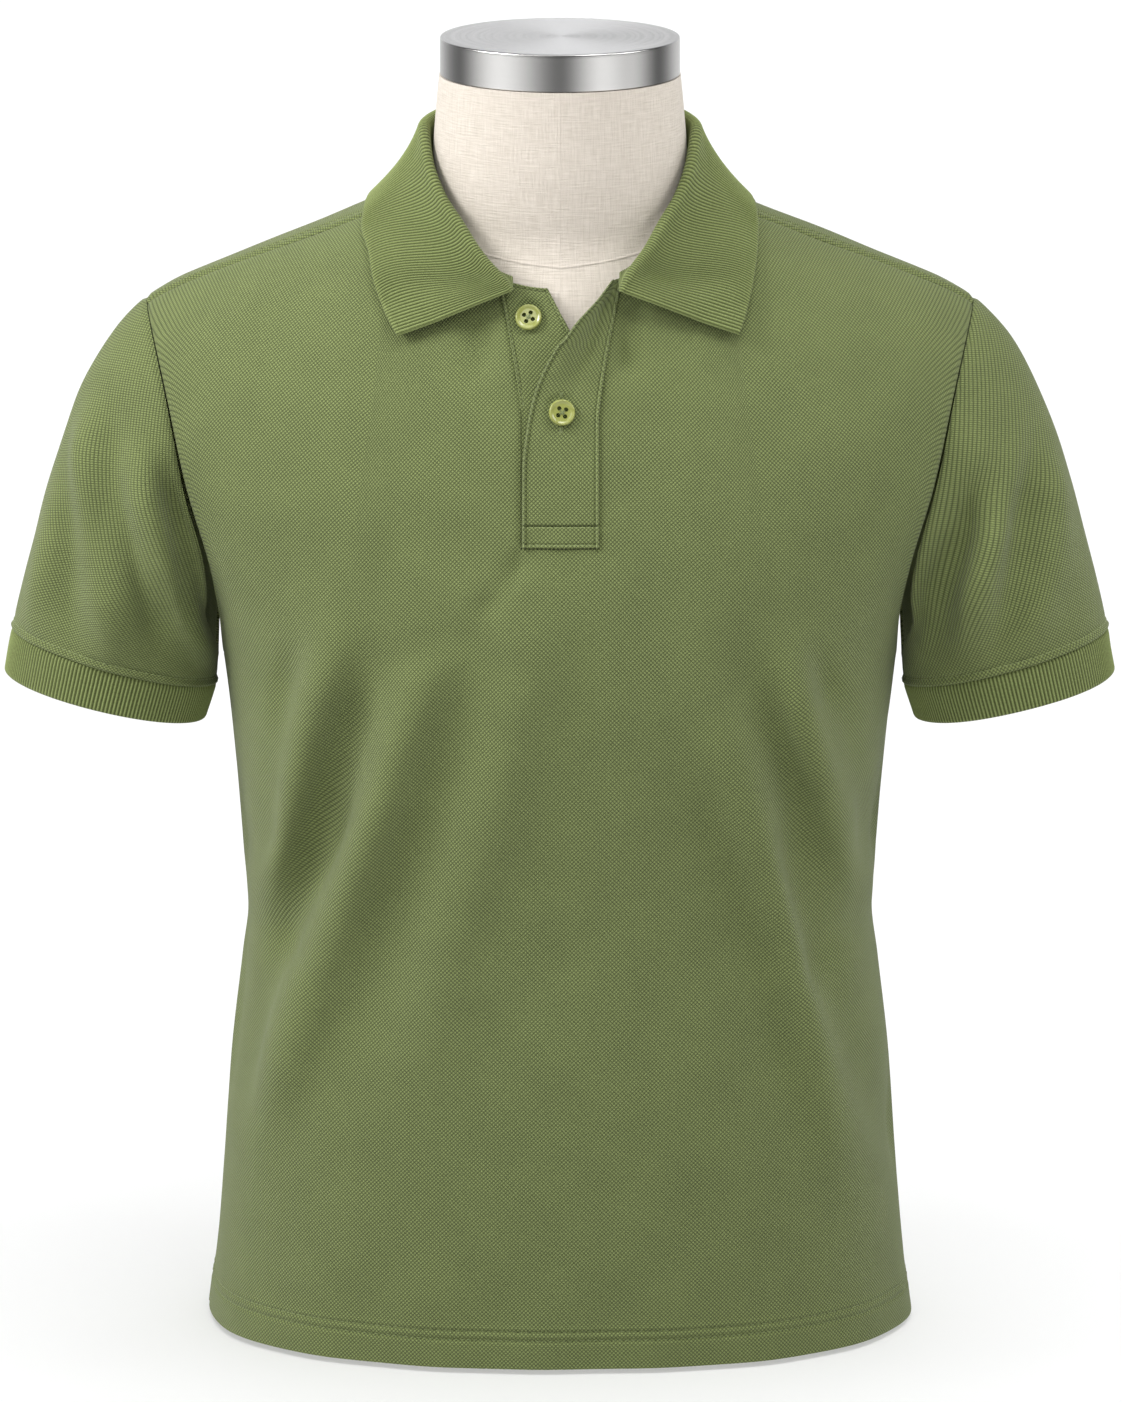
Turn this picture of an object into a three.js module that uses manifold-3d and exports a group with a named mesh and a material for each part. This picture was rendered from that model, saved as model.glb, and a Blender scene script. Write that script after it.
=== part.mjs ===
// A short-sleeved polo shirt worn by a limbless dress form with a linen cover and a metal neck cap.
// Millimetres, +Z up. The front of the shirt faces -Y, and the wearer's left side is +X.
// The origin is the middle of the form's flat base, which stands on the table.

import * as THREE from "three";
import { mergeVertices } from "three/addons/utils/BufferGeometryUtils.js";
import Module from "manifold-3d";

// Driving dimensions of the shirt
const SHOULDER_WIDTH = 455; // over the back, from sleeve seam to sleeve seam
const NECK_WIDTH = 155; // between the points where the shoulder seams meet the collar
const SHOULDER_SLOPE = 0.4; // rise over run
const SHOULDER_TIP_Z = 579;
const ARMPIT_Z = 380;
const HEM_Z = 3;
const CLOTH = 1.6; // knitted pique
const RIB = 2; // knitted collar and cuffs
const SEAM_GAP = 0.5; // what parts two pieces along a seam
const SLEEVE_GAP = { around: 0.65, underarm: 2 }; // what parts a sleeve from the armhole

// The body of the shirt is a stack of rounded sections. Each row gives the outer face of the cloth:
// its half width, and how far it stands ahead of and behind the side seams. Above the armpit the
// half width is that of the section carried on past the armhole.
const BODY_SECTIONS = [
  { z: 3, half: 197.3, front: 127, back: 117 },
  { z: 34, half: 193.3, front: 126, back: 115 },
  { z: 92, half: 188.4, front: 125, back: 110 },
  { z: 150, half: 184.2, front: 124, back: 105 },
  { z: 208, half: 177.4, front: 122, back: 101 },
  { z: 237, half: 174, front: 121, back: 100 },
  { z: 266, half: 176, front: 121.5, back: 102 },
  { z: 324, half: 180.3, front: 124, back: 109 },
  { z: 380, half: 186.3, front: 125, back: 115 },
  { z: 405, half: 191.7, front: 125, back: 117 },
  { z: 435, half: 203, front: 125, back: 118 },
  { z: 485, half: 226, front: 125, back: 118 },
  { z: 534, half: 242, front: 125, back: 118 },
  { z: 579, half: 248, front: 125, back: 118 },
  { z: 680, half: 250, front: 125, back: 118 },
];
const SECTION_ROUNDNESS = 2.3; // 2 is an ellipse, more is squarer
// Above the armpit the sections draw in under the shoulders, as an arch from front to back
const ARCH_ROUNDNESS = { front: 1.85, back: 2.6 };
const TIP_ROUNDING = { from: 204, drop: 3.4 };

// The armhole seam as the front shows it: how far out it lies at each height
const ARMHOLE = [
  { z: 380, x: 186.3 },
  { z: 405, x: 187.2 },
  { z: 435, x: 192.2 },
  { z: 485, x: 205.5 },
  { z: 534, x: 216 },
  { z: 579, x: 227.5 },
];

// The shoulder seam lies ahead of the top of the shoulder, further at the neck than at the tip
const SHOULDER_SEAM = { neckDepth: 16, tipDepth: 6, gap: 0.6, tipGapAngle: 0.01 };
const NECKLINE = { frontZ: 599, frontCurve: 2.6, backDepth: 72, backRoundness: 2.3 };

// Soft folds in the cloth of the body. x and z run from the fold's upper to its lower end,
// a positive height is a ridge and a negative one a trough. A fold fades over a share of its own
// length at each end, and over the last part of the body's depth towards its sides.
const FOLD_FADE = { before: 0.1, over: 0.35, depth: 40 };
const FRONT_FOLDS = [
  { x0: -121, z0: 425, x1: -170, z1: 250, width: 10, height: 6.5 },
  { x0: -96, z0: 405, x1: -160, z1: 215, width: 11, height: -3 },
  { x0: -62, z0: 420, x1: -174, z1: 114, width: 11, height: 6.5 },
  { x0: -40, z0: 405, x1: -122, z1: 150, width: 14, height: -2.6 },
  { x0: -8, z0: 445, x1: -78, z1: 165, width: 14, height: 3.6 },
  { x0: 128, z0: 412, x1: 178, z1: 250, width: 9, height: 5.5 },
  { x0: 110, z0: 400, x1: 166, z1: 235, width: 10, height: -3 },
  { x0: 90, z0: 385, x1: 184, z1: 105, width: 12, height: 6 },
  { x0: 66, z0: 352, x1: 146, z1: 120, width: 16, height: -2.6 },
];
const BACK_FOLDS = [
  { x0: -120, z0: 400, x1: -160, z1: 240, width: 15, height: 4 },
  { x0: -84, z0: 372, x1: -140, z1: 196, width: 16, height: -3.2 },
  { x0: -46, z0: 346, x1: -74, z1: 176, width: 17, height: 3 },
  { x0: 124, z0: 396, x1: 158, z1: 230, width: 15, height: 4 },
  { x0: 88, z0: 380, x1: 136, z1: 206, width: 16, height: -3.2 },
  { x0: 40, z0: 330, x1: 66, z1: 160, width: 17, height: 2.6 },
];

// The placket fills a slot in the front panel, half as wide as this. It spreads from spreadZ up.
const PLACKET = { bottomZ: 463, topZ: 600, half: 21, spreadZ: 532, topHalf: 33, spreadCurve: 1.3 };
const PLACKET_LAYER = 1.9; // from the face of the upper strip to that of the lower one
// The upper strip's free edge turns away above the lower button, standing off the chest by lift
const OVER_EDGE = [
  { z: 463, x: -20.6, lift: 0 },
  { z: 505, x: -20.4, lift: 0 },
  { z: 526, x: -18, lift: 0.4 },
  { z: 542, x: -14.5, lift: 1.2 },
  { z: 557, x: -8, lift: 3 },
  { z: 578, x: 6.4, lift: 5.2 },
  { z: 592, x: 20, lift: 3.6 },
  { z: 602, x: 28, lift: 0.4 },
];
// The lower strip's free edge, and how far the strip's outer edge has come up level with the chest.
// It sinks again over this share of the strip's width.
const UNDER_SLOPE_SHARE = 0.625;
const UNDER_EDGE = [
  { z: 463, x: 20.2, level: 0 },
  { z: 530, x: 20.2, level: 0 },
  { z: 556, x: 15.5, level: 1 },
  { z: 579, x: 4.8, level: 1 },
  { z: 591, x: -2.4, level: 1 },
  { z: 602, x: -8.5, level: 1 },
];

// The collar's fold line and its free edge, from the front end (0) round to the middle of the back
// (1). The two front ends differ, and the rows from 0.4 on serve both sides.
const COLLAR_ENDS = {
  left: { seamX: 33.4 },
  right: { seamX: 26.4 },
};
const COLLAR_ROWS = {
  left: [
    { at: 0, rollX: 34.5, rollY: -83, rollZ: 602, edgeX: 96.5, edgeY: -76, edgeZ: 574.5 },
    { at: 0.08, rollX: 39.5, rollY: -77, rollZ: 607, edgeX: 101, edgeY: -68, edgeZ: 586 },
    { at: 0.2, rollX: 49, rollY: -66, rollZ: 618, edgeX: 104.5, edgeY: -56, edgeZ: 600 },
    { at: 0.3, rollX: 57, rollY: -54, rollZ: 630, edgeX: 107.4, edgeY: -44, edgeZ: 611.5 },
  ],
  right: [
    { at: 0, rollX: 27.5, rollY: -85, rollZ: 600.5, edgeX: 85.7, edgeY: -78, edgeZ: 574.5 },
    { at: 0.08, rollX: 33.5, rollY: -80, rollZ: 605, edgeX: 92.5, edgeY: -70, edgeZ: 584 },
    { at: 0.2, rollX: 45.5, rollY: -69, rollZ: 616.5, edgeX: 99.5, edgeY: -58, edgeZ: 600 },
    { at: 0.3, rollX: 55.5, rollY: -56, rollZ: 629.5, edgeX: 104.5, edgeY: -44, edgeZ: 613 },
  ],
  shared: [
    { at: 0.4, rollX: 65.5, rollY: -40.5, rollZ: 643, edgeX: 108.4, edgeY: -27, edgeZ: 623 },
    { at: 0.5, rollX: 72.3, rollY: -20.6, rollZ: 659, edgeX: 107.4, edgeY: -10, edgeZ: 631 },
    { at: 0.6, rollX: 74.6, rollY: 4, rollZ: 672, edgeX: 104, edgeY: 14, edgeZ: 634 },
    { at: 0.72, rollX: 66, rollY: 34.4, rollZ: 675, edgeX: 93, edgeY: 42, edgeZ: 630 },
    { at: 0.86, rollX: 38, rollY: 62.5, rollZ: 677, edgeX: 55, edgeY: 72, edgeZ: 627 },
    { at: 1, rollX: 0, rollY: 73.5, rollZ: 678, edgeX: 0, edgeY: 84, edgeZ: 627 },
  ],
};
const COLLAR_SEAM_GAP = 2.4;
const COLLAR_END_BOW = { height: 3.5, reach: 0.14 }; // the leaf's front ends bow outwards
const COLLAR_FOLD = { radius: 2.4, fromDegrees: 180, toDegrees: 45, lean: 0.35 };
// How the leaf leaves the fold and reaches its edge, in shares of its length
const COLLAR_LEAF = { leave: 0.3, arrive: 0.35, endOut: 0.9, endUp: -0.3 };
const COLLAR_CLEARANCE = 2.3; // from the shirt's face to the middle of the leaf
const NECK_SEAM_FRONT_SHARE = 0.4; // of the collar's half length, lies ahead of the shoulder seam

// The sleeve ends in a tilted oval, and the ribbed cuff runs on from it
const SLEEVE_END = { x: 246.9, z: 379, half: 58.8, depth: 48, tilt: 15.5 };
const CUFF_TOP = { x: 247, z: 378.5, half: 58.6, depth: 47.8, tilt: 15.5 };
const CUFF_BOTTOM = { x: 252.65, z: 356, half: 57, depth: 46.5, tilt: 13.6 };
const SLEEVE_Y = -2;
// How the sleeve leaves the armhole, by the place round it: 0 is the top, 0.25 the front,
// 0.5 the armpit and 0.75 the back. pull and settle are the stiffness at its two ends.
const SLEEVE_RISE = [
  { at: 0, x: 0.8, y: 0, z: -0.6, pull: 0.25, settle: 0.43 },
  { at: 0.25, x: 0.52, y: -0.24, z: -0.83, pull: 0.33, settle: 0.36 },
  { at: 0.5, x: 0.35, y: 0, z: -0.93, pull: 0.3, settle: 0.3 },
  { at: 0.75, x: 0.52, y: 0.24, z: -0.83, pull: 0.33, settle: 0.36 },
  { at: 1, x: 0.8, y: 0, z: -0.6, pull: 0.25, settle: 0.43 },
];
// Folds down the sleeve, each from a place round the armhole to one round the cuff
const SLEEVE_FOLDS = [
  { above: 0.13, below: 0.17, from: 0.2, to: 0.92, width: 0.035, height: -3 },
  { above: 0.19, below: 0.28, from: 0.1, to: 0.95, width: 0.035, height: 3.6 },
  { above: 0.27, below: 0.37, from: 0.05, to: 0.9, width: 0.04, height: -4.6 },
  { above: 0.76, below: 0.67, from: 0.1, to: 0.9, width: 0.045, height: -4 },
  { above: 0.85, below: 0.78, from: 0.2, to: 0.9, width: 0.04, height: 3 },
];

const BUTTON = { radius: 7.2, thickness: 2.9, holeRadius: 0.9, holeOffset: 1.75, dish: 0.7 };
// The button's rounded edge and rim: how far in from its outside, and how far up from its back
const BUTTON_EDGE = [
  { inset: 1.1, up: 0 },
  { inset: 0.25, up: 0.55 },
  { inset: 0, up: 1.3 },
  { inset: 0.2, up: 2.4 },
  { inset: 0.75, up: 2.9 },
  { inset: 1.5, up: 2.65 },
  { inset: 2.4, up: 2.2 },
];
const BUTTON_SHANK = 0.8; // thread between the cloth and the button
const BUTTON_PLACES = {
  upper: { x: -17.2, z: 585 },
  lower: { x: 0.4, z: 537 },
};

// The dress form, in sections like the shirt's. The cloth rests on its shoulders.
const FORM_SECTIONS = [
  { z: 0, half: 156, front: 95, back: 95 },
  { z: 3, half: 160, front: 98.5, back: 97.5 },
  { z: 12, half: 163, front: 101, back: 98.5 },
  { z: 90, half: 164, front: 104, back: 95 },
  { z: 160, half: 160, front: 104, back: 90 },
  { z: 237, half: 156, front: 103, back: 87 },
  { z: 320, half: 167, front: 111, back: 97 },
  { z: 380, half: 176, front: 116, back: 107 },
  { z: 430, half: 186, front: 117, back: 111.5 },
  { z: 480, half: 202, front: 117, back: 112.5 },
  { z: 530, half: 218, front: 117, back: 112.5 },
  { z: 580, half: 226, front: 117, back: 112.5 },
  { z: 700, half: 228, front: 117, back: 112.5 },
];
const FORM_EASE = 2.4; // under the shirt's face, along the top of the shoulder
const FORM_NECK_DIP = { depth: 4, to: 112, width: 34 }; // below that line, beside the neck
const FORM_SHOULDER_END = { from: 176, x: 212, drop: 26 };
const FORM_NECK_FILLET = 4;
const FORM_NECK_ASPECT = 0.42; // the columns of points turn towards the neck by this
const FORM_NECK = [
  { z: 540, half: 66, depth: 58 },
  { z: 609, half: 70, depth: 62 },
  { z: 640, half: 69.6, depth: 65 },
  { z: 662, half: 69.4, depth: 66.4 },
  { z: 684, half: 67.9, depth: 66.2 },
  { z: 703.4, half: 66, depth: 66 },
];
const FORM_RING_HEIGHTS = [
  0, 3, 12, 50, 90, 130, 165, 200, 237, 275, 320, 350, 380, 410, 440, 470, 500, 525, 545, 558, 567, 575,
  583, 591, 599, 607, 615, 623, 631, 640, 652, 668, 686, 703.4,
];
const CAP = { radius: 65.6, bottomZ: 703.8, topZ: 724.2, edge: 1 };

const FINISHES = {
  pique: { color: 0x6f794c, roughness: 0.85 },
  rib: { color: 0x6f7a4b, roughness: 0.9 },
  resin: { color: 0x6d7538, roughness: 0.3 },
  linen: { color: 0xe5ddd2, roughness: 0.95 },
  steel: { color: 0xa9a9a9, roughness: 0.3, metalness: 1 },
};

// How finely each piece is drawn
const FRONT_GRID = { placketCols: 2, neckCols: 6, shoulderCols: 7, lowRows: 12, highRows: 14, slotRow: 5 };
const BACK_GRID = { neckCols: 6, shoulderCols: 7, lowRows: 12, highRows: 14 };
const SLEEVE_ROWS = 10;
const CUFF_GRID = { rows: 3, cols: 32 };
const COLLAR_GRID = { columnsEachSide: 20, stand: 2, fold: 3, leaf: 5 };
const PLACKET_GRID = { rows: 14, cols: 5 };
const FORM_COLUMNS = 36;
const TURNED_COLUMNS = { button: 24, hole: 10, cap: 48 };
const HALVINGS = 44; // when a place is found by halving
const ROUNDS = 8; // when a value depends on itself

const wasm = await Module();
wasm.setup();

// Small helpers

const NECK_X = NECK_WIDTH / 2;
const TIP_X = SHOULDER_WIDTH / 2;
const outward = { front: -1, back: 1 };

const mix = (a, b, t) => a + (b - a) * t;
const clamp = (v, low, high) => Math.min(high, Math.max(low, v));
const smooth = (t) => t * t * (3 - 2 * t);
const vec = (x, y, z) => new THREE.Vector3(x, y, z);
const steps = (count) => Array.from({ length: count + 1 }, (_, i) => i / count);

// A column of a table at a place on its key column, along a smooth curve with no overshoot
function read(table, key, place, column) {
  const last = table.length - 1;
  if (place <= table[0][key]) return table[0][column];
  if (place >= table[last][key]) return table[last][column];
  let i = 0;
  while (table[i + 1][key] < place) i++;
  const slope = (k) => (table[k + 1][column] - table[k][column]) / (table[k + 1][key] - table[k][key]);
  const tangent = (k) => {
    if (k === 0 || k === last) return slope(Math.min(k, last - 1));
    const before = slope(k - 1);
    const after = slope(k);
    return before * after <= 0 ? 0 : (2 * before * after) / (before + after);
  };
  const span = table[i + 1][key] - table[i][key];
  const t = (place - table[i][key]) / span;
  const t2 = t * t;
  const t3 = t2 * t;
  return (
    table[i][column] * (2 * t3 - 3 * t2 + 1) +
    table[i + 1][column] * (3 * t2 - 2 * t3) +
    span * (tangent(i) * (t3 - 2 * t2 + t) + tangent(i + 1) * (t3 - t2))
  );
}

// The place between low and high where a rising function reaches a value, by halving
function solve(rising, value, low, high) {
  let [a, b] = [low, high];
  for (let i = 0; i < HALVINGS; i++) {
    const middle = (a + b) / 2;
    if (rising(middle) < value) a = middle;
    else b = middle;
  }
  return (a + b) / 2;
}

// The shape that the shirt and the form share: sections from a table, arched up to a top line

const shirtShape = {
  sections: BODY_SECTIONS,
  top(x) {
    const beyond = Math.max(0, Math.abs(x) - TIP_ROUNDING.from) / (TIP_X - TIP_ROUNDING.from);
    const line = SHOULDER_TIP_Z + TIP_ROUNDING.drop + (TIP_X - Math.abs(x)) * SHOULDER_SLOPE;
    return line - TIP_ROUNDING.drop * beyond * beyond;
  },
};

const formShape = {
  sections: FORM_SECTIONS,
  top(x) {
    const end = FORM_SHOULDER_END;
    const beyond = Math.max(0, Math.abs(x) - end.from) / (end.x - end.from);
    const nearNeck = clamp((FORM_NECK_DIP.to - Math.abs(x)) / FORM_NECK_DIP.width, 0, 1);
    const dip = FORM_NECK_DIP.depth * smooth(nearNeck);
    return shirtShape.top(Math.min(Math.abs(x), TIP_ROUNDING.from)) - FORM_EASE - dip - end.drop * beyond ** 3;
  },
};

// How far a shape's face stands ahead of or behind the side seams at a place seen from the front
function depthAt(shape, side, x, z) {
  const across = Math.min(1, Math.abs(x) / read(shape.sections, "z", z, "half"));
  const section = Math.pow(1 - Math.pow(across, SECTION_ROUNDNESS), 1 / SECTION_ROUNDNESS);
  const rise = clamp((z - ARMPIT_Z) / (shape.top(x) - ARMPIT_Z), 0, 1);
  const arch = Math.pow(1 - Math.pow(rise, ARCH_ROUNDNESS[side]), 1 / ARCH_ROUNDNESS[side]);
  return read(shape.sections, "z", z, side) * section * arch;
}

const facePoint = (side, x, z) => vec(x, outward[side] * depthAt(shirtShape, side, x, z), z);

// The shirt's outward direction at a place on its face
function faceNormal(side, x, z) {
  const step = 2;
  const dx = facePoint(side, x + step, z).sub(facePoint(side, x - step, z));
  const dz = facePoint(side, x, z + step).sub(facePoint(side, x, z - step));
  const n = dx.cross(dz).normalize();
  return n.y * outward[side] < 0 ? n.negate() : n;
}

// Above the armpit a place is given by x and an angle: 0 level with the armpit, a right angle on
// top of the shoulder, and more beyond it on the other side.
function archPoint(side, x, angle) {
  const over = angle > Math.PI / 2;
  const face = over ? (side === "front" ? "back" : "front") : side;
  const a = over ? Math.PI - angle : angle;
  const rise = Math.pow(Math.sin(a), 2 / ARCH_ROUNDNESS[face]);
  const z = mix(ARMPIT_Z, shirtShape.top(x), rise);
  const across = Math.min(1, Math.abs(x) / read(BODY_SECTIONS, "z", z, "half"));
  const section = Math.pow(1 - Math.pow(across, SECTION_ROUNDNESS), 1 / SECTION_ROUNDNESS);
  const arch = Math.pow(Math.max(0, Math.cos(a)), 2 / ARCH_ROUNDNESS[face]);
  return vec(x, outward[face] * read(BODY_SECTIONS, "z", z, face) * section * arch, z);
}

const angleAtHeight = (side, x, z) => solve((a) => archPoint(side, x, a).z, z, 0, Math.PI / 2);
const angleAtDepth = (side, x, depth) =>
  solve((a) => -Math.abs(archPoint(side, x, a).y), -depth, 0, Math.PI / 2);

// The armhole's edge at an angle: its x follows from its height
function armholeX(side, angle) {
  let x = TIP_X;
  for (let i = 0; i < ROUNDS; i++) x = read(ARMHOLE, "z", archPoint(side, x, angle).z, "x");
  return x;
}

const seamDepth = (x) => {
  const t = clamp((Math.abs(x) - NECK_X) / (TIP_X - NECK_X), 0, 1);
  return mix(SHOULDER_SEAM.neckDepth, SHOULDER_SEAM.tipDepth, t);
};
const NECK_POINT_Z = archPoint("front", NECK_X, angleAtDepth("front", NECK_X, SHOULDER_SEAM.neckDepth)).z;
const TIP_ANGLE = solve(
  (a) => -Math.abs(archPoint("front", armholeX("front", a), a).y),
  -SHOULDER_SEAM.tipDepth,
  Math.PI / 4,
  Math.PI / 2,
);
const SEAM_END_X = armholeX("front", TIP_ANGLE);

const necklineFront = (x) =>
  mix(NECKLINE.frontZ, NECK_POINT_Z, Math.pow(clamp(Math.abs(x) / NECK_X, 0, 1), NECKLINE.frontCurve));

// The neckline behind the shoulder seam: turn 0 is at the seam, 1 in the middle of the back
function necklineBack(turn) {
  const power = 2 / NECKLINE.backRoundness;
  const x = NECK_X * Math.pow(Math.max(0, Math.cos((turn * Math.PI) / 2)), power);
  const reach = NECKLINE.backDepth + SHOULDER_SEAM.neckDepth;
  const y = reach * Math.pow(Math.sin((turn * Math.PI) / 2), power) - SHOULDER_SEAM.neckDepth;
  const angle = y > 0 ? angleAtDepth("back", x, y) : Math.PI - angleAtDepth("front", x, -y);
  return { x, angle };
}

// Height of the soft folds at a place, from a table of folds
function foldHeight(folds, x, z) {
  let sum = 0;
  for (const f of folds) {
    const length = Math.hypot(f.x1 - f.x0, f.z1 - f.z0);
    const ux = (f.x1 - f.x0) / length;
    const uz = (f.z1 - f.z0) / length;
    const along = ((x - f.x0) * ux + (z - f.z0) * uz) / length;
    const off = (x - f.x0) * uz - (z - f.z0) * ux;
    const fadeIn = smooth(clamp((along + FOLD_FADE.before) / FOLD_FADE.over, 0, 1));
    const fadeOut = smooth(clamp((1 + FOLD_FADE.before - along) / FOLD_FADE.over, 0, 1));
    sum += f.height * fadeIn * fadeOut * Math.exp(-(off * off) / (2 * f.width * f.width));
  }
  return sum;
}

const placketHalf = (z) => {
  const t = clamp((z - PLACKET.spreadZ) / (PLACKET.topZ - PLACKET.spreadZ), 0, 1);
  return mix(PLACKET.half, PLACKET.topHalf, Math.pow(t, PLACKET.spreadCurve));
};

// Solids from sheets of points

// Moves each point of a grid along the grid's own normal. Rows run up and columns run to the right,
// seen from outside, and the columns of a round grid close on themselves.
function offsetGrid(grid, distance, round = false) {
  const rows = grid.length;
  const cols = grid[0].length;
  const column = (j) => (round ? (j + cols) % cols : clamp(j, 0, cols - 1));
  return grid.map((line, i) =>
    line.map((p, j) => {
      const across = grid[i][column(j + 1)].clone().sub(grid[i][column(j - 1)]);
      const along = grid[Math.min(i + 1, rows - 1)][j].clone().sub(grid[Math.max(i - 1, 0)][j]);
      return p.clone().addScaledVector(across.cross(along).normalize(), distance);
    }),
  );
}

function geometry(points, index) {
  const made = new THREE.BufferGeometry();
  made.setAttribute("position", new THREE.Float32BufferAttribute(points.flatMap((p) => [p.x, p.y, p.z]), 3));
  made.setIndex(index);
  return made;
}

// A closed wall between an outer and an inner grid, without the cells that keep() turns down
function wall(outer, inner, { round = false, keep = () => true } = {}) {
  const rows = outer.length;
  const cols = outer[0].length;
  const cellCols = round ? cols : cols - 1;
  const id = (layer, i, j) => layer * rows * cols + i * cols + (j % cols);
  const there = (i, j) => {
    const column = round ? (j + cols) % cols : j;
    return i >= 0 && i < rows - 1 && column >= 0 && column < cellCols && keep(i, column);
  };
  const index = [];
  const quad = (a, b, c, d) => index.push(a, b, c, a, c, d);
  for (let i = 0; i < rows - 1; i++) {
    for (let j = 0; j < cellCols; j++) {
      if (!there(i, j)) continue;
      quad(id(0, i, j), id(0, i, j + 1), id(0, i + 1, j + 1), id(0, i + 1, j));
      quad(id(1, i, j), id(1, i + 1, j), id(1, i + 1, j + 1), id(1, i, j + 1));
      if (!there(i - 1, j)) quad(id(0, i, j), id(1, i, j), id(1, i, j + 1), id(0, i, j + 1));
      if (!there(i + 1, j)) quad(id(0, i + 1, j + 1), id(1, i + 1, j + 1), id(1, i + 1, j), id(0, i + 1, j));
      if (!there(i, j - 1)) quad(id(0, i + 1, j), id(1, i + 1, j), id(1, i, j), id(0, i, j));
      if (!there(i, j + 1)) quad(id(0, i, j + 1), id(1, i, j + 1), id(1, i + 1, j + 1), id(0, i + 1, j + 1));
    }
  }
  const used = new Map();
  const points = [];
  const all = [...outer.flat(), ...inner.flat()];
  const tight = index.map((k) => {
    if (!used.has(k)) {
      used.set(k, points.length);
      points.push(all[k]);
    }
    return used.get(k);
  });
  return geometry(points, tight);
}

// A solid through closed rings of points, from the lowest to the highest, flat at both ends
function loft(rings) {
  const count = rings[0].length;
  const points = rings.flat();
  const index = [];
  for (let i = 0; i < rings.length - 1; i++) {
    for (let j = 0; j < count; j++) {
      const a = i * count + j;
      const b = i * count + ((j + 1) % count);
      index.push(a, b, b + count, a, b + count, a + count);
    }
  }
  for (const [ring, flip] of [[0, true], [rings.length - 1, false]]) {
    const middle = points.length;
    points.push(rings[ring].reduce((sum, p) => sum.add(p), vec(0, 0, 0)).divideScalar(count));
    for (let j = 0; j < count; j++) {
      const a = ring * count + j;
      const b = ring * count + ((j + 1) % count);
      index.push(middle, flip ? b : a, flip ? a : b);
    }
  }
  return geometry(points, index);
}

// A mirror image in the plane x = 0, with its faces turned back to point outwards
function mirrored(source) {
  const made = source.clone();
  made.scale(-1, 1, 1);
  const index = made.getIndex().array;
  for (let i = 0; i < index.length; i += 3) [index[i + 1], index[i + 2]] = [index[i + 2], index[i + 1]];
  return made;
}

function toSolid(source) {
  const plain = source.clone();
  plain.deleteAttribute("normal");
  plain.deleteAttribute("uv");
  const welded = mergeVertices(plain, 1e-4);
  const mesh = new wasm.Mesh({
    numProp: 3,
    vertProperties: new Float32Array(welded.attributes.position.array),
    triVerts: new Uint32Array(welded.index.array),
  });
  return new wasm.Manifold(mesh);
}

function fromSolid(solid) {
  const mesh = solid.getMesh();
  const made = new THREE.BufferGeometry();
  made.setAttribute("position", new THREE.Float32BufferAttribute(mesh.vertProperties, 3));
  made.setIndex(new THREE.Uint32BufferAttribute(mesh.triVerts, 1));
  return made;
}

const shirt = new THREE.Group();

function addPiece(name, shape, finish) {
  const mesh = new THREE.Mesh(shape, new THREE.MeshStandardMaterial(finish));
  mesh.name = name;
  shirt.add(mesh);
}

// Body panels: one knitted piece in front, with the placket's slot, and one behind that comes
// forward over the shoulders

// The share of the way out from the middle that a column has, gathered towards the side
const spread = (t) => Math.sin((t * Math.PI) / 2);

// Height of a row below the armpit
const lowHeight = (i, rows) => mix(HEM_Z, ARMPIT_Z, i / rows);

function frontPoint(i, j) {
  const { placketCols, neckCols, shoulderCols, lowRows, highRows, slotRow } = FRONT_GRID;
  const sideCols = neckCols + shoulderCols;
  const place = Math.abs(j) - placketCols;
  const side = clamp(place / sideCols, 0, 1);
  const centre = clamp(Math.abs(j) / placketCols, 0, 1);
  if (i <= lowRows) {
    const z = lowHeight(i, lowRows);
    const inner = placketHalf(z) + SEAM_GAP / 2;
    const x = place <= 0 ? inner * centre : mix(inner, read(BODY_SECTIONS, "z", z, "half"), spread(side));
    return facePoint("front", Math.sign(j) * x, z);
  }
  const slotX = PLACKET.half + SEAM_GAP / 2;
  const topX = PLACKET.topHalf + SEAM_GAP / 2;
  const share = (i - lowRows) / highRows;
  const slotShare = slotRow / highRows;
  let endX = mix(topX, NECK_X, place / neckCols);
  if (place > neckCols) endX = mix(NECK_X, SEAM_END_X, (place - neckCols) / shoulderCols);
  if (place <= 0) endX = topX;
  const endAngle = place < neckCols
    ? angleAtHeight("front", endX, necklineFront(endX))
    : place === sideCols
      ? TIP_ANGLE - SHOULDER_SEAM.tipGapAngle
      : angleAtDepth("front", endX, seamDepth(endX) + SHOULDER_SEAM.gap);
  const slotPlace = place <= 0 ? slotX * centre : slotX;
  const slotAngle = mix(angleAtHeight("front", slotPlace, PLACKET.bottomZ), endAngle * slotShare, smooth(side));
  const angle = share < slotShare
    ? mix(0, slotAngle, share / slotShare)
    : mix(slotAngle, endAngle, (share - slotShare) / (1 - slotShare));
  const edge = armholeX("front", angle);
  let x = edge;
  for (let k = 0; k < ROUNDS; k++) {
    const inner = placketHalf(archPoint("front", x, angle).z) + SEAM_GAP / 2;
    const endShare = (endX - topX) / (SEAM_END_X - topX);
    x = place <= 0 ? inner * centre : mix(inner, edge, mix(spread(side), endShare, share));
  }
  return archPoint("front", Math.sign(j) * x, angle);
}

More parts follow.
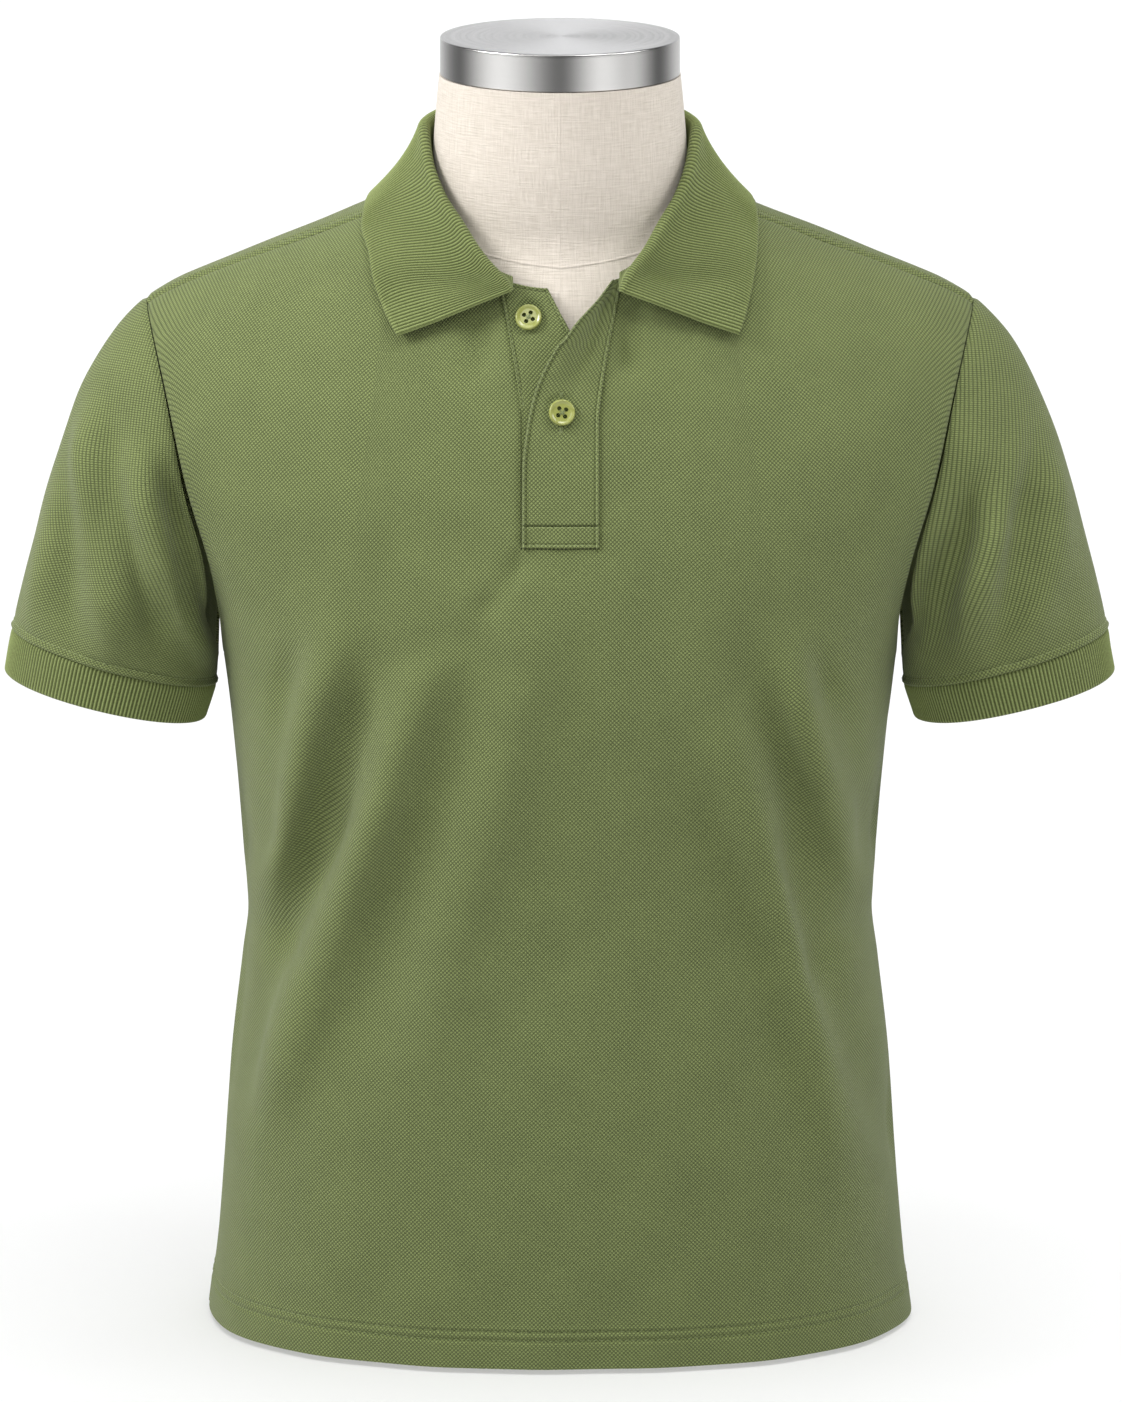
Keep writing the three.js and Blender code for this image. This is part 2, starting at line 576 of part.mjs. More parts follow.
function buildFront() {
  const { placketCols, neckCols, shoulderCols, lowRows, highRows, slotRow } = FRONT_GRID;
  const reach = placketCols + neckCols + shoulderCols;
  const outer = [];
  for (let i = 0; i <= lowRows + highRows; i++) {
    const line = [];
    for (let j = -reach; j <= reach; j++) {
      const p = frontPoint(i, j);
      p.y -= foldHeight(FRONT_FOLDS, p.x, p.z) * clamp(-p.y / FOLD_FADE.depth, 0, 1) + SEAM_GAP / 2;
      line.push(p);
    }
    outer.push(line);
  }
  const inSlot = (i, j) => i >= lowRows + slotRow && Math.abs(j + 0.5 - reach) < placketCols;
  const inner = offsetGrid(outer, -CLOTH);
  return { outer, inner, shape: wall(outer, inner, { keep: (i, j) => !inSlot(i, j) }) };
}

function backPoint(i, j) {
  const { neckCols, shoulderCols, lowRows, highRows } = BACK_GRID;
  const place = Math.abs(j);
  const side = place / (neckCols + shoulderCols);
  if (i <= lowRows) {
    const z = lowHeight(i, lowRows);
    return facePoint("back", Math.sign(j) * read(BODY_SECTIONS, "z", z, "half") * spread(side), z);
  }
  const share = (i - lowRows) / highRows;
  let end = necklineBack(1 - place / neckCols);
  if (place > neckCols) {
    const x = mix(NECK_X, SEAM_END_X, (place - neckCols) / shoulderCols);
    end = { x, angle: Math.PI - angleAtDepth("front", x, seamDepth(x)) };
  }
  if (side === 1) end = { x: SEAM_END_X, angle: Math.PI - TIP_ANGLE };
  const angle = end.angle * share;
  const x = armholeX("back", angle) * mix(spread(side), end.x / SEAM_END_X, share);
  return archPoint("back", Math.sign(j) * x, angle);
}

function buildBack() {
  const { neckCols, shoulderCols, lowRows, highRows } = BACK_GRID;
  const reach = neckCols + shoulderCols;
  const outer = [];
  for (let i = 0; i <= lowRows + highRows; i++) {
    const line = [];
    for (let j = reach; j >= -reach; j--) {
      const p = backPoint(i, j);
      p.y += foldHeight(BACK_FOLDS, p.x, p.z) * clamp(p.y / FOLD_FADE.depth, 0, 1) + SEAM_GAP / 2;
      line.push(p);
    }
    outer.push(line);
  }
  const inner = offsetGrid(outer, -CLOTH);
  return { outer, inner, shape: wall(outer, inner) };
}

const front = buildFront();
const back = buildBack();
addPiece("front_panel", front.shape, FINISHES.pique);
addPiece("back_panel", back.shape, FINISHES.pique);

// Placket: two strips of the same cloth in the slot, the upper one sewn in at the wearer's left

// A point of a strip: its place on the chest, moved out along the chest's normal
function stripPoint(x, z, height) {
  return facePoint("front", x, z).addScaledVector(faceNormal("front", x, z), height);
}

// The slot's side and a strip's end follow the neckline
const slotSide = (z) => placketHalf(z) - SEAM_GAP / 2;
const stripTop = (x) => necklineFront(x) - SEAM_GAP / 2;

function overPoint(row, t) {
  const bottom = PLACKET.bottomZ + SEAM_GAP;
  let z = mix(bottom, PLACKET.topZ, row);
  let x = 0;
  for (let k = 0; k < ROUNDS; k++) {
    x = mix(read(OVER_EDGE, "z", z, "x"), slotSide(z), t);
    z = mix(bottom, stripTop(x), row);
  }
  const lift = read(OVER_EDGE, "z", z, "lift") * (1 - t) ** 2;
  return stripPoint(x, z, CLOTH / 2 + lift);
}

function underPoint(row, t) {
  const bottom = PLACKET.bottomZ + SEAM_GAP;
  let z = mix(bottom, PLACKET.topZ, row);
  let x = 0;
  for (let k = 0; k < ROUNDS; k++) {
    x = mix(-slotSide(z), read(UNDER_EDGE, "z", z, "x"), t);
    z = mix(bottom, stripTop(x), row);
  }
  const sunk = CLOTH / 2 - PLACKET_LAYER;
  const level = read(UNDER_EDGE, "z", z, "level") * smooth(clamp(1 - t / UNDER_SLOPE_SHARE, 0, 1));
  return stripPoint(x, z, mix(sunk, 0, level));
}

function buildStrip(point) {
  const outer = steps(PLACKET_GRID.rows).map((row) => steps(PLACKET_GRID.cols).map((t) => point(row, t)));
  return wall(outer, offsetGrid(outer, -CLOTH));
}

addPiece("placket_over", buildStrip(overPoint), FINISHES.pique);
addPiece("placket_under", buildStrip(underPoint), FINISHES.pique);

// Sleeves: one knitted piece each, from the armhole to the cuff

const circle = (a) => a * Math.PI * 2;

// A point of a tilted oval: place 0 is its outer end, 0.25 the front and 0.5 the inner end
function ovalPoint(oval, place) {
  const across = oval.half * Math.cos(circle(place));
  const tilt = THREE.MathUtils.degToRad(oval.tilt);
  const y = SLEEVE_Y - oval.depth * Math.sin(circle(place));
  return vec(oval.x + across * Math.cos(tilt), y, oval.z + across * Math.sin(tilt));
}

// The armhole's rim on the wearer's left, from the armpit up the front and down the back
function armholeRim() {
  const lastFront = front.outer[0].length - 1;
  const edge = (panel, row, column) => {
    const point = panel.outer[row][column].clone();
    return { point, normal: point.clone().sub(panel.inner[row][column]).normalize() };
  };
  const rim = [];
  for (let i = FRONT_GRID.lowRows; i < front.outer.length; i++) rim.push(edge(front, i, lastFront));
  for (let i = back.outer.length - 2; i > BACK_GRID.lowRows; i--) rim.push(edge(back, i, 0));
  rim[0].point.y = 0;
  const gapTo = (i, k) => rim[i].point.distanceTo(rim[k].point);
  const length = [0];
  for (let i = 1; i < rim.length; i++) length.push(length[i - 1] + gapTo(i, i - 1));
  const total = length[length.length - 1] + gapTo(0, rim.length - 1);
  const peak = rim.reduce((best, r, i) => (r.point.z > rim[best].point.z ? i : best), 0);
  return rim.map(({ point, normal }, i) => {
    const place = i <= peak
      ? 0.5 - (0.5 * length[i]) / length[peak]
      : 1 - (0.5 * (length[i] - length[peak])) / (total - length[peak]);
    return { point, normal, place };
  });
}

function sleeveFold(place, down) {
  let sum = 0;
  for (const f of SLEEVE_FOLDS) {
    const along = clamp((down - f.from) / (f.to - f.from), 0, 1);
    const off = place - mix(f.above, f.below, down);
    sum += f.height * Math.sin(along * Math.PI) * Math.exp(-(off * off) / (2 * f.width * f.width));
  }
  return sum;
}

function buildSleeve() {
  const rim = armholeRim();
  const axis = ovalPoint(CUFF_BOTTOM, 0).add(ovalPoint(CUFF_BOTTOM, 0.5));
  axis.sub(ovalPoint(SLEEVE_END, 0)).sub(ovalPoint(SLEEVE_END, 0.5)).normalize();
  const curves = rim.map(({ point, normal, place }, i) => {
    const next = rim[(i + 1) % rim.length].point;
    const previous = rim[(i - 1 + rim.length) % rim.length].point;
    const along = next.clone().sub(previous).normalize();
    const underarm = Math.max(0, -Math.cos(circle(place))) ** 2;
    const away = along.cross(normal).normalize().addScaledVector(normal, underarm).normalize();
    const start = point.clone().addScaledVector(away, mix(SLEEVE_GAP.around, SLEEVE_GAP.underarm, underarm));
    const end = ovalPoint(SLEEVE_END, place);
    const reach = start.distanceTo(end);
    const rise = vec(...["x", "y", "z"].map((c) => read(SLEEVE_RISE, "at", place, c))).normalize();
    const leave = start.clone().addScaledVector(rise, reach * read(SLEEVE_RISE, "at", place, "pull"));
    const arrive = end.clone().addScaledVector(axis, -reach * read(SLEEVE_RISE, "at", place, "settle"));
    return new THREE.CubicBezierCurve3(end, arrive, leave, start);
  });
  const plain = steps(SLEEVE_ROWS).map((t) => curves.map((curve) => curve.getPoint(t)));
  const raised = offsetGrid(plain, 1, true);
  const outer = plain.map((line, i) =>
    line.map((p, j) => {
      const height = sleeveFold(rim[j].place, 1 - i / SLEEVE_ROWS);
      return p.clone().lerp(raised[i][j], height);
    }),
  );
  return wall(outer, offsetGrid(outer, -CLOTH, true), { round: true });
}

const sleeve = buildSleeve();
addPiece("sleeve_left", sleeve, FINISHES.pique);
addPiece("sleeve_right", mirrored(sleeve), FINISHES.pique);

// Cuffs: a knitted rib band sewn round the end of each sleeve

function buildCuff() {
  const { rows, cols } = CUFF_GRID;
  const oval = (t) => {
    const at = {};
    for (const key of Object.keys(CUFF_TOP)) at[key] = mix(CUFF_BOTTOM[key], CUFF_TOP[key], t);
    return at;
  };
  const outer = steps(rows).map((t) => {
    const line = [];
    for (let j = 0; j < cols; j++) line.push(ovalPoint(oval(t), 0.5 - j / cols));
    return line;
  });
  return wall(outer, offsetGrid(outer, -RIB, true), { round: true });
}

const cuff = buildCuff();
addPiece("cuff_left", cuff, FINISHES.rib);
addPiece("cuff_right", mirrored(cuff), FINISHES.rib);

// Collar: one knitted rib piece, sewn to the neckline, standing up round the neck and folded over

// The neck seam on the shirt's face at a place from the front end (0) to the middle back (1)
function neckSeam(end, at) {
  if (at > NECK_SEAM_FRONT_SHARE) {
    const { x, angle } = necklineBack((at - NECK_SEAM_FRONT_SHARE) / (1 - NECK_SEAM_FRONT_SHARE));
    return archPoint("back", x, angle);
  }
  const x = mix(end.seamX, NECK_X, at / NECK_SEAM_FRONT_SHARE);
  return archPoint("front", x, angleAtHeight("front", x, necklineFront(x)));
}

// The nearest the shirt's face comes to a point, as a signed distance, and its direction there
function faceBelow(p) {
  const side = p.y < 0 ? "front" : "back";
  const angle = angleAtDepth(side, p.x, Math.min(Math.abs(p.y), depthAt(shirtShape, side, p.x, ARMPIT_Z)));
  const on = archPoint(side, p.x, angle);
  const turn = 0.02;
  const across = archPoint(side, p.x + 2, angle).sub(archPoint(side, p.x - 2, angle));
  const up = archPoint(side, p.x, angle + turn).sub(archPoint(side, p.x, angle - turn));
  const normal = across.cross(up).normalize();
  if (normal.z < 0) normal.negate();
  return { normal, distance: p.clone().sub(on).dot(normal) };
}

function collarProfile(rows, end, at) {
  const point = (name, place) => vec(...["X", "Y", "Z"].map((c) => read(rows, "at", place, name + c)));
  const roll = point("roll", at);
  const edge = point("edge", at);
  const step = 0.02;
  const ahead = point("roll", Math.min(1, at + step)).sub(point("roll", Math.max(0, at - step)));
  if (at === 1) ahead.set(-1, 0, 0);
  ahead.normalize();
  const out = edge.clone().sub(roll);
  out.addScaledVector(ahead, -out.dot(ahead));
  const flat = out.clone().setZ(out.z * COLLAR_FOLD.lean).normalize();
  out.copy(flat.addScaledVector(ahead, -flat.dot(ahead))).normalize();
  const up = ahead.clone().cross(out).normalize();
  if (up.z - up.y < 0) up.negate();
  const around = (degrees) => {
    const a = THREE.MathUtils.degToRad(degrees);
    return roll.clone().addScaledVector(out, COLLAR_FOLD.radius * Math.cos(a))
      .addScaledVector(up, COLLAR_FOLD.radius * Math.sin(a));
  };
  const seam = neckSeam(end, at);
  const face = faceBelow(seam);
  const start = seam.clone().addScaledVector(face.normal, -CLOTH / 2);
  const along = neckSeam(end, Math.min(1, at + step)).sub(neckSeam(end, Math.max(0, at - step)));
  const inward = face.normal.clone().cross(along).normalize();
  if (inward.dot(vec(-seam.x, -seam.y, 0)) < 0) inward.negate();
  start.addScaledVector(inward, COLLAR_SEAM_GAP);
  const top = around(COLLAR_FOLD.fromDegrees);
  const leafStart = around(COLLAR_FOLD.toDegrees);
  const length = leafStart.distanceTo(edge);
  const downOut = out.clone().sub(up).normalize();
  const leafEnd = out.clone().multiplyScalar(COLLAR_LEAF.endOut).addScaledVector(up, COLLAR_LEAF.endUp);
  const leaf = new THREE.CubicBezierCurve3(
    leafStart,
    leafStart.clone().addScaledVector(downOut, length * COLLAR_LEAF.leave),
    edge.clone().addScaledVector(leafEnd, -length * COLLAR_LEAF.arrive),
    edge,
  );
  const line = steps(COLLAR_GRID.stand).slice(0, -1).map((t) => start.clone().lerp(top, t));
  const { fromDegrees, toDegrees } = COLLAR_FOLD;
  for (const t of steps(COLLAR_GRID.fold)) line.push(around(mix(fromDegrees, toDegrees, t)));
  for (const t of steps(COLLAR_GRID.leaf).slice(1)) {
    const bow = COLLAR_END_BOW.height * Math.sin(Math.PI * t) * Math.max(0, 1 - at / COLLAR_END_BOW.reach);
    const p = leaf.getPoint(t).addScaledVector(ahead, -bow);
    const { normal, distance } = faceBelow(p);
    if (distance < COLLAR_CLEARANCE) p.addScaledVector(normal, COLLAR_CLEARANCE - distance);
    line.push(p);
  }
  return line;
}

function buildCollar() {
  const profiles = [];
  for (const side of ["right", "left"]) {
    const rows = [...COLLAR_ROWS[side], ...COLLAR_ROWS.shared];
    const places = steps(COLLAR_GRID.columnsEachSide);
    const lines = places.map((at) => collarProfile(rows, COLLAR_ENDS[side], at));
    if (side === "right") profiles.push(...lines.map((line) => line.map((p) => p.setX(-p.x))));
    else profiles.push(...lines.reverse().slice(1));
  }
  const rowCount = profiles[0].length;
  const middle = [];
  for (let i = 0; i < rowCount; i++) middle.push(profiles.map((line) => line[i]));
  return wall(offsetGrid(middle, RIB / 2), offsetGrid(middle, -RIB / 2));
}

addPiece("collar", buildCollar(), FINISHES.rib);

// Buttons: turned discs with a dished face and four thread holes

function buildButton(place, point) {
  const { radius, thickness, holeRadius, holeOffset, dish } = BUTTON;
  const edge = BUTTON_EDGE.map(({ inset, up }) => [radius - inset, up]);
  const profile = [[0, 0], ...edge, [0, thickness - dish]];
  const disc = new THREE.LatheGeometry(profile.map(([x, y]) => new THREE.Vector2(x, y)), TURNED_COLUMNS.button);
  let solid = toSolid(disc);
  for (const [sx, sz] of [[1, 1], [1, -1], [-1, 1], [-1, -1]]) {
    const hole = new THREE.CylinderGeometry(holeRadius, holeRadius, thickness * 2, TURNED_COLUMNS.hole);
    hole.translate(sx * holeOffset, thickness / 2, sz * holeOffset);
    solid = solid.subtract(toSolid(hole));
  }
  const shape = fromSolid(solid);
  const normal = faceNormal("front", place.x, place.z);
  const seat = point.clone().addScaledVector(normal, BUTTON_SHANK);
  shape.applyQuaternion(new THREE.Quaternion().setFromUnitVectors(vec(0, 1, 0), normal));
  shape.translate(seat.x, seat.y, seat.z);
  return shape;
}

// The strip's face under a button, found by the share of the strip's width and length
function stripFace(pointOn, { x, z }) {
  const row = solve((r) => pointOn(r, 0.5).z, z, 0, 1);
  const t = solve((s) => pointOn(row, s).x, x, 0, 1);
  return pointOn(row, t);
}

const { upper, lower } = BUTTON_PLACES;
addPiece("button_upper", buildButton(upper, stripFace(underPoint, upper)), FINISHES.resin);
addPiece("button_lower", buildButton(lower, stripFace(overPoint, lower)), FINISHES.resin);

// Dress form: a moulded body and neck with no limbs, covered in linen

function formRing(z) {
  const along = (dir, shape) => {
    const side = dir.y < 0 ? "front" : "back";
    const inside = (r) => Math.abs(dir.y) * r - depthAt(shape, side, dir.x * r, z);
    return solve(inside, 0, 0, SHOULDER_WIDTH);
  };
  const open = z < shirtTopOfForm ? read(FORM_SECTIONS, "z", z, "half") : 0;
  const reach = z > ARMPIT_Z ? solve((x) => -formShape.top(x), -z, 0, open) : open;
  const aspect = reach > 0 ? depthAt(formShape, "front", 0, z) / reach : 1;
  const neckHalf = read(FORM_NECK, "z", z, "half");
  const neckDepth = read(FORM_NECK, "z", z, "depth");
  const hasNeck = z > FORM_NECK[0].z;
  const ring = [];
  for (let k = 0; k < FORM_COLUMNS; k++) {
    const a = circle(k / FORM_COLUMNS);
    const flatness = Math.max(aspect, hasNeck ? FORM_NECK_ASPECT : 0);
    const dir = vec(-Math.cos(a), -Math.sin(a) * flatness, 0).normalize();
    const body = open > 0 ? along(dir, formShape) : 0;
    const neck = hasNeck ? 1 / Math.hypot(dir.x / neckHalf, dir.y / neckDepth) : 0;
    const near = Math.max(0, 1 - Math.abs(body - neck) / FORM_NECK_FILLET);
    const r = Math.max(body, neck) + (near * near * FORM_NECK_FILLET) / 4;
    ring.push(dir.multiplyScalar(r).setZ(z));
  }
  return ring;
}

const shirtTopOfForm = formShape.top(0);
addPiece("dress_form", loft(FORM_RING_HEIGHTS.map(formRing)), FINISHES.linen);

// Neck cap: a turned metal disc that closes the top of the neck

function buildCap() {
  const { radius, bottomZ, topZ, edge } = CAP;
  const eased = edge * (1 - Math.SQRT1_2);
  const profile = [
    [0, bottomZ],
    [radius, bottomZ],
    [radius, topZ - edge],
    [radius - eased, topZ - eased],
    [radius - edge, topZ],
    [0, topZ],
  ];
  const cap = new THREE.LatheGeometry(profile.map(([x, y]) => new THREE.Vector2(x, y)), TURNED_COLUMNS.cap);
  cap.rotateX(Math.PI / 2);
  return cap;
}

addPiece("neck_cap", buildCap(), FINISHES.steel);

export default shirt;
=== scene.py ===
"""A short-sleeved pique polo shirt on a limbless dress form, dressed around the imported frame.

Every size in a piece's section is in millimetres. The front faces -Y, and left is the wearer's.
"""
import math

import bpy
import numpy as np
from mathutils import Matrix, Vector


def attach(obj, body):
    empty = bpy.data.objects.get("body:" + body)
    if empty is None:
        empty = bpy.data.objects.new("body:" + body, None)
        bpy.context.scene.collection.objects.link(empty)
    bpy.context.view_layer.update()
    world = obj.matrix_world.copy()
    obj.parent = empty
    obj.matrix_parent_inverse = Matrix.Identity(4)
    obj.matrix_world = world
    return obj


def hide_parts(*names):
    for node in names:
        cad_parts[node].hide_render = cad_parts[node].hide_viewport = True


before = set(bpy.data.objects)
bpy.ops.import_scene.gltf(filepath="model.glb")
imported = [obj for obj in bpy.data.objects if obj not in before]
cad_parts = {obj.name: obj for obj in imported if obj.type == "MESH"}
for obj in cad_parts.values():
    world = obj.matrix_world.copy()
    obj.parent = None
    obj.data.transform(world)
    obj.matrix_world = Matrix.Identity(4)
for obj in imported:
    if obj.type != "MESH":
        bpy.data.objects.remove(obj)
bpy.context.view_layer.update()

# Dress form
# A moulded shell with no limbs, under one stretched cover of cream linen. A seam runs down the
# middle of the front, and another parts the neck from the chest. It stands on its flat base.

MM = 0.001
ARMPIT_Z = 380
SECTION_ROUNDNESS = 2.3
ARCH_ROUNDNESS = {"front": 1.85, "back": 2.6}
SHOULDER = {"tip_x": 227.5, "tip_z": 579, "slope": 0.4, "round_from": 204, "drop": 3.4}
# z, half width, depth ahead, depth behind
FORM_SECTIONS = np.array([
    (0, 156, 95, 95), (3, 160, 98.5, 97.5), (12, 163, 101, 98.5), (90, 164, 104, 95), (160, 160, 104, 90),
    (237, 156, 103, 87), (320, 167, 111, 97), (380, 176, 116, 107), (430, 186, 117, 111.5),
    (480, 202, 117, 112.5), (530, 218, 117, 112.5), (580, 226, 117, 112.5), (700, 228, 117, 112.5),
], float)
FORM_SHOULDER = {
    "below": 2.4, "dip": 4, "dip_from": 112, "dip_over": 34, "round_from": 176, "round_over": 36, "drop": 26,
}
NECK_BLEND = 11
# How flat the form's outline is taken to be round its neck
NECK_FLATNESS = {"least": 0.42, "upper": 0.93, "from_z": 596, "over": 60}
SHARP_EDGE = 48
FORM_NECK = np.array([
    (540, 66, 58), (609, 70, 62), (640, 69.6, 65), (662, 69.4, 66.4), (684, 67.9, 66.2), (703.4, 66, 66),
], float)


def curve_at(places, values, at):
    """A smooth curve with no overshoot through the points of a table's column."""
    places, values = np.asarray(places, float), np.asarray(values, float)
    slope = np.diff(values) / np.diff(places)
    tangent = np.concatenate([slope[:1], np.zeros(len(slope) - 1), slope[-1:]])
    before, after = slope[:-1], slope[1:]
    rising = before * after > 0
    both = np.where(rising, before + after, 1)
    tangent[1:-1] = np.where(rising, 2 * before * after / both, 0)
    at = np.clip(at, places[0], places[-1])
    i = np.clip(np.searchsorted(places, at) - 1, 0, len(slope) - 1)
    span = places[i + 1] - places[i]
    t = (at - places[i]) / span
    t2, t3 = t * t, t * t * t
    return (values[i] * (2 * t3 - 3 * t2 + 1) + values[i + 1] * (3 * t2 - 2 * t3)
            + span * (tangent[i] * (t3 - 2 * t2 + t) + tangent[i + 1] * (t3 - t2)))


def mix(a, b, t):
    return a + (b - a) * t


def smooth(t):
    t = np.clip(t, 0, 1)
    return t * t * (3 - 2 * t)


def halve(rising, value, low, high):
    """The places between low and high where a rising function reaches a value."""
    for _ in range(36):
        middle = (low + high) / 2
        under = rising(middle) < value
        low, high = np.where(under, middle, low), np.where(under, high, middle)
    return (low + high) / 2


def shoulder_top(x):
    """Height of the shirt's face along the top of the shoulder."""
    s = SHOULDER
    beyond = np.maximum(0, np.abs(x) - s["round_from"]) / (s["tip_x"] - s["round_from"])
    return s["tip_z"] + s["drop"] * (1 - beyond ** 2) + (s["tip_x"] - np.abs(x)) * s["slope"]


def form_top(x):
    """Height of the form's shoulder, which the cloth rests on, with its rounded end."""
    f = FORM_SHOULDER
    beyond = np.maximum(0, np.abs(x) - f["round_from"]) / f["round_over"]
    dip = f["dip"] * smooth((f["dip_from"] - np.abs(x)) / f["dip_over"])
    under = shoulder_top(np.minimum(np.abs(x), SHOULDER["round_from"])) - f["below"]
    return under - dip - f["drop"] * beyond ** 3


def depth_at(sections, top, side, x, z):
    """How far a face stands ahead of or behind the side seams, at a place seen from the front."""
    half = curve_at(sections[:, 0], sections[:, 1], z)
    reach = curve_at(sections[:, 0], sections[:, 2 if side == "front" else 3], z)
    across = np.minimum(1, np.abs(x) / half)
    rise = np.clip((z - ARMPIT_Z) / (top(x) - ARMPIT_Z), 0, 1)
    m, n = ARCH_ROUNDNESS[side], SECTION_ROUNDNESS
    return reach * (1 - across ** n) ** (1 / n) * (1 - rise ** m) ** (1 / m)


def form_radius(angle, z):
    """How far out the form's face is, and in what direction, at an angle round it and a height."""
    peak = form_top(0.0)
    half = np.where(z < peak, curve_at(FORM_SECTIONS[:, 0], FORM_SECTIONS[:, 1], z), 0)
    reach = np.where(z > ARMPIT_Z, halve(lambda x: -form_top(x), -z, 0 * z, half), half)
    ahead = depth_at(FORM_SECTIONS, form_top, "front", 0, z)
    flatness = np.where(reach > 0, ahead / np.maximum(reach, 1), 1)
    has_neck = z > FORM_NECK[0, 0]
    f = NECK_FLATNESS
    flatness = np.maximum(flatness, np.where(has_neck, f["least"], 0))
    flatness = mix(flatness, f["upper"], smooth((z - f["from_z"]) / f["over"]))
    dx, dy = -np.cos(angle), -np.sin(angle) * flatness
    length = np.hypot(dx, dy)
    dx, dy = dx / length, dy / length

    def outside(r):
        front = depth_at(FORM_SECTIONS, form_top, "front", dx * r, z)
        back = depth_at(FORM_SECTIONS, form_top, "back", dx * r, z)
        return np.abs(dy) * r - np.where(dy < 0, front, back)

    body = np.where(half > 0, halve(outside, 0, 0 * dx, 0 * dx + 300), 0)
    neck_half = curve_at(FORM_NECK[:, 0], FORM_NECK[:, 1], z)
    neck_depth = curve_at(FORM_NECK[:, 0], FORM_NECK[:, 2], z)
    neck = np.where(has_neck, 1 / np.hypot(dx / neck_half, dy / neck_depth), 0)
    near = np.maximum(0, 1 - np.abs(body - neck) / NECK_BLEND)
    return np.maximum(body, neck) + NECK_BLEND / 4 * near ** 2, dx, dy


def grid_faces(ids, closed=True):
    """Corner numbers of a grid's cells, counter-clockwise from outside."""
    if closed:
        ids = np.concatenate([ids, ids[:, :1]], axis=1)
    return np.stack([ids[:-1, :-1], ids[:-1, 1:], ids[1:, 1:], ids[1:, :-1]], axis=-1)


def make_piece(name, points, faces, material, slot, nodes=(), knit=None):
    """One smooth piece of the model from points in millimetres, riding on the part."""
    used, place = np.unique(np.concatenate([np.ravel(f) for f in faces]), return_inverse=True)
    mesh = bpy.data.meshes.new(name)
    sizes = np.concatenate([np.full(len(f), f.shape[1]) for f in faces])
    mesh.vertices.add(len(used))
    mesh.vertices.foreach_set("co", (points[used] * MM).ravel())
    mesh.loops.add(len(place))
    mesh.loops.foreach_set("vertex_index", place.ravel().astype(np.int32))
    mesh.polygons.add(len(sizes))
    mesh.polygons.foreach_set("loop_start", np.concatenate([[0], np.cumsum(sizes)[:-1]]).astype(np.int32))
    mesh.update(calc_edges=True)
    mesh.validate()
    mesh.shade_smooth()
    mesh.set_sharp_from_angle(angle=math.radians(SHARP_EDGE))
    if knit is not None:
        layer = mesh.attributes.new("knit", "FLOAT_VECTOR", "POINT")
        layer.data.foreach_set("vector", knit[used].ravel())
    piece = bpy.data.objects.new(name, mesh)
    bpy.context.scene.collection.objects.link(piece)
    piece.data.materials.append(material)
    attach(piece, "root")
    if nodes:
        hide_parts(*nodes)
    return piece


def new_material(name, colour, roughness, metallic=0.0, sheen=0.0):
    """A material whose plain values sit on the shader's own sockets."""
    material = bpy.data.materials.new(name)
    material.use_nodes = True
    shader = material.node_tree.nodes["Principled BSDF"]
    shader.inputs["Base Color"].default_value = (*colour, 1)
    shader.inputs["Roughness"].default_value = roughness
    shader.inputs["Metallic"].default_value = metallic
    shader.inputs["Sheen Weight"].default_value = sheen
    shader.inputs["Sheen Roughness"].default_value = 0.5
    return material, material.node_tree, shader


def add_node(tree, kind, inputs=None, **settings):
    """One node, with its settings and with values or links on its inputs."""
    node = tree.nodes.new(kind)
    for key, value in settings.items():
        setattr(node, key, value)
    for key, value in (inputs or {}).items():
        if isinstance(value, bpy.types.NodeSocket):
            tree.links.new(value, node.inputs[key])
        else:
            node.inputs[key].default_value = value
    return node


def calc(tree, operation, a, b=0.0):
    return add_node(tree, "ShaderNodeMath", {0: a, 1: b}, operation=operation).outputs[0]


def times(tree, a, b):
    return calc(tree, "MULTIPLY", a, b)


def plus(tree, a, b):
    return calc(tree, "ADD", a, b)


def minus(tree, a, b):
    return calc(tree, "SUBTRACT", a, b)


def split(tree, vector):
    """The X, Y and Z of a vector."""
    return add_node(tree, "ShaderNodeSeparateXYZ", {0: vector}).outputs


def cloth_place(tree):
    """Where a point lies on the cloth laid flat, whole and split."""
    vector = add_node(tree, "ShaderNodeAttribute", attribute_name="knit").outputs["Vector"]
    return vector, split(tree, vector)


def object_place(tree):
    return add_node(tree, "ShaderNodeTexCoord").outputs["Object"]


def stretch(tree, vector, scale):
    """A vector multiplied part by part."""
    inputs = {0: vector, 1: scale}
    return add_node(tree, "ShaderNodeVectorMath", inputs, operation="MULTIPLY").outputs[0]


def noise(tree, vector, scale, detail=2.0):
    inputs = {"Vector": vector, "Scale": scale, "Detail": detail}
    return add_node(tree, "ShaderNodeTexNoise", inputs).outputs["Fac"]


def tint(tree, amount, dark, light):
    """A colour between two, by an amount from 0 to 1."""
    ramp = add_node(tree, "ShaderNodeMix", {"Factor": amount}, data_type="RGBA", clamp_factor=True)
    ramp.inputs["A"].default_value = (*dark, 1)
    ramp.inputs["B"].default_value = (*light, 1)
    return ramp.outputs["Result"]


def relief(tree, height, millimetres, before=None):
    """A bump of a given depth, on top of another one."""
    node = add_node(tree, "ShaderNodeBump", {"Height": height, "Distance": millimetres * MM, "Strength": 1.0})
    if before is not None:
        tree.links.new(before, node.inputs["Normal"])
    return node.outputs["Normal"]


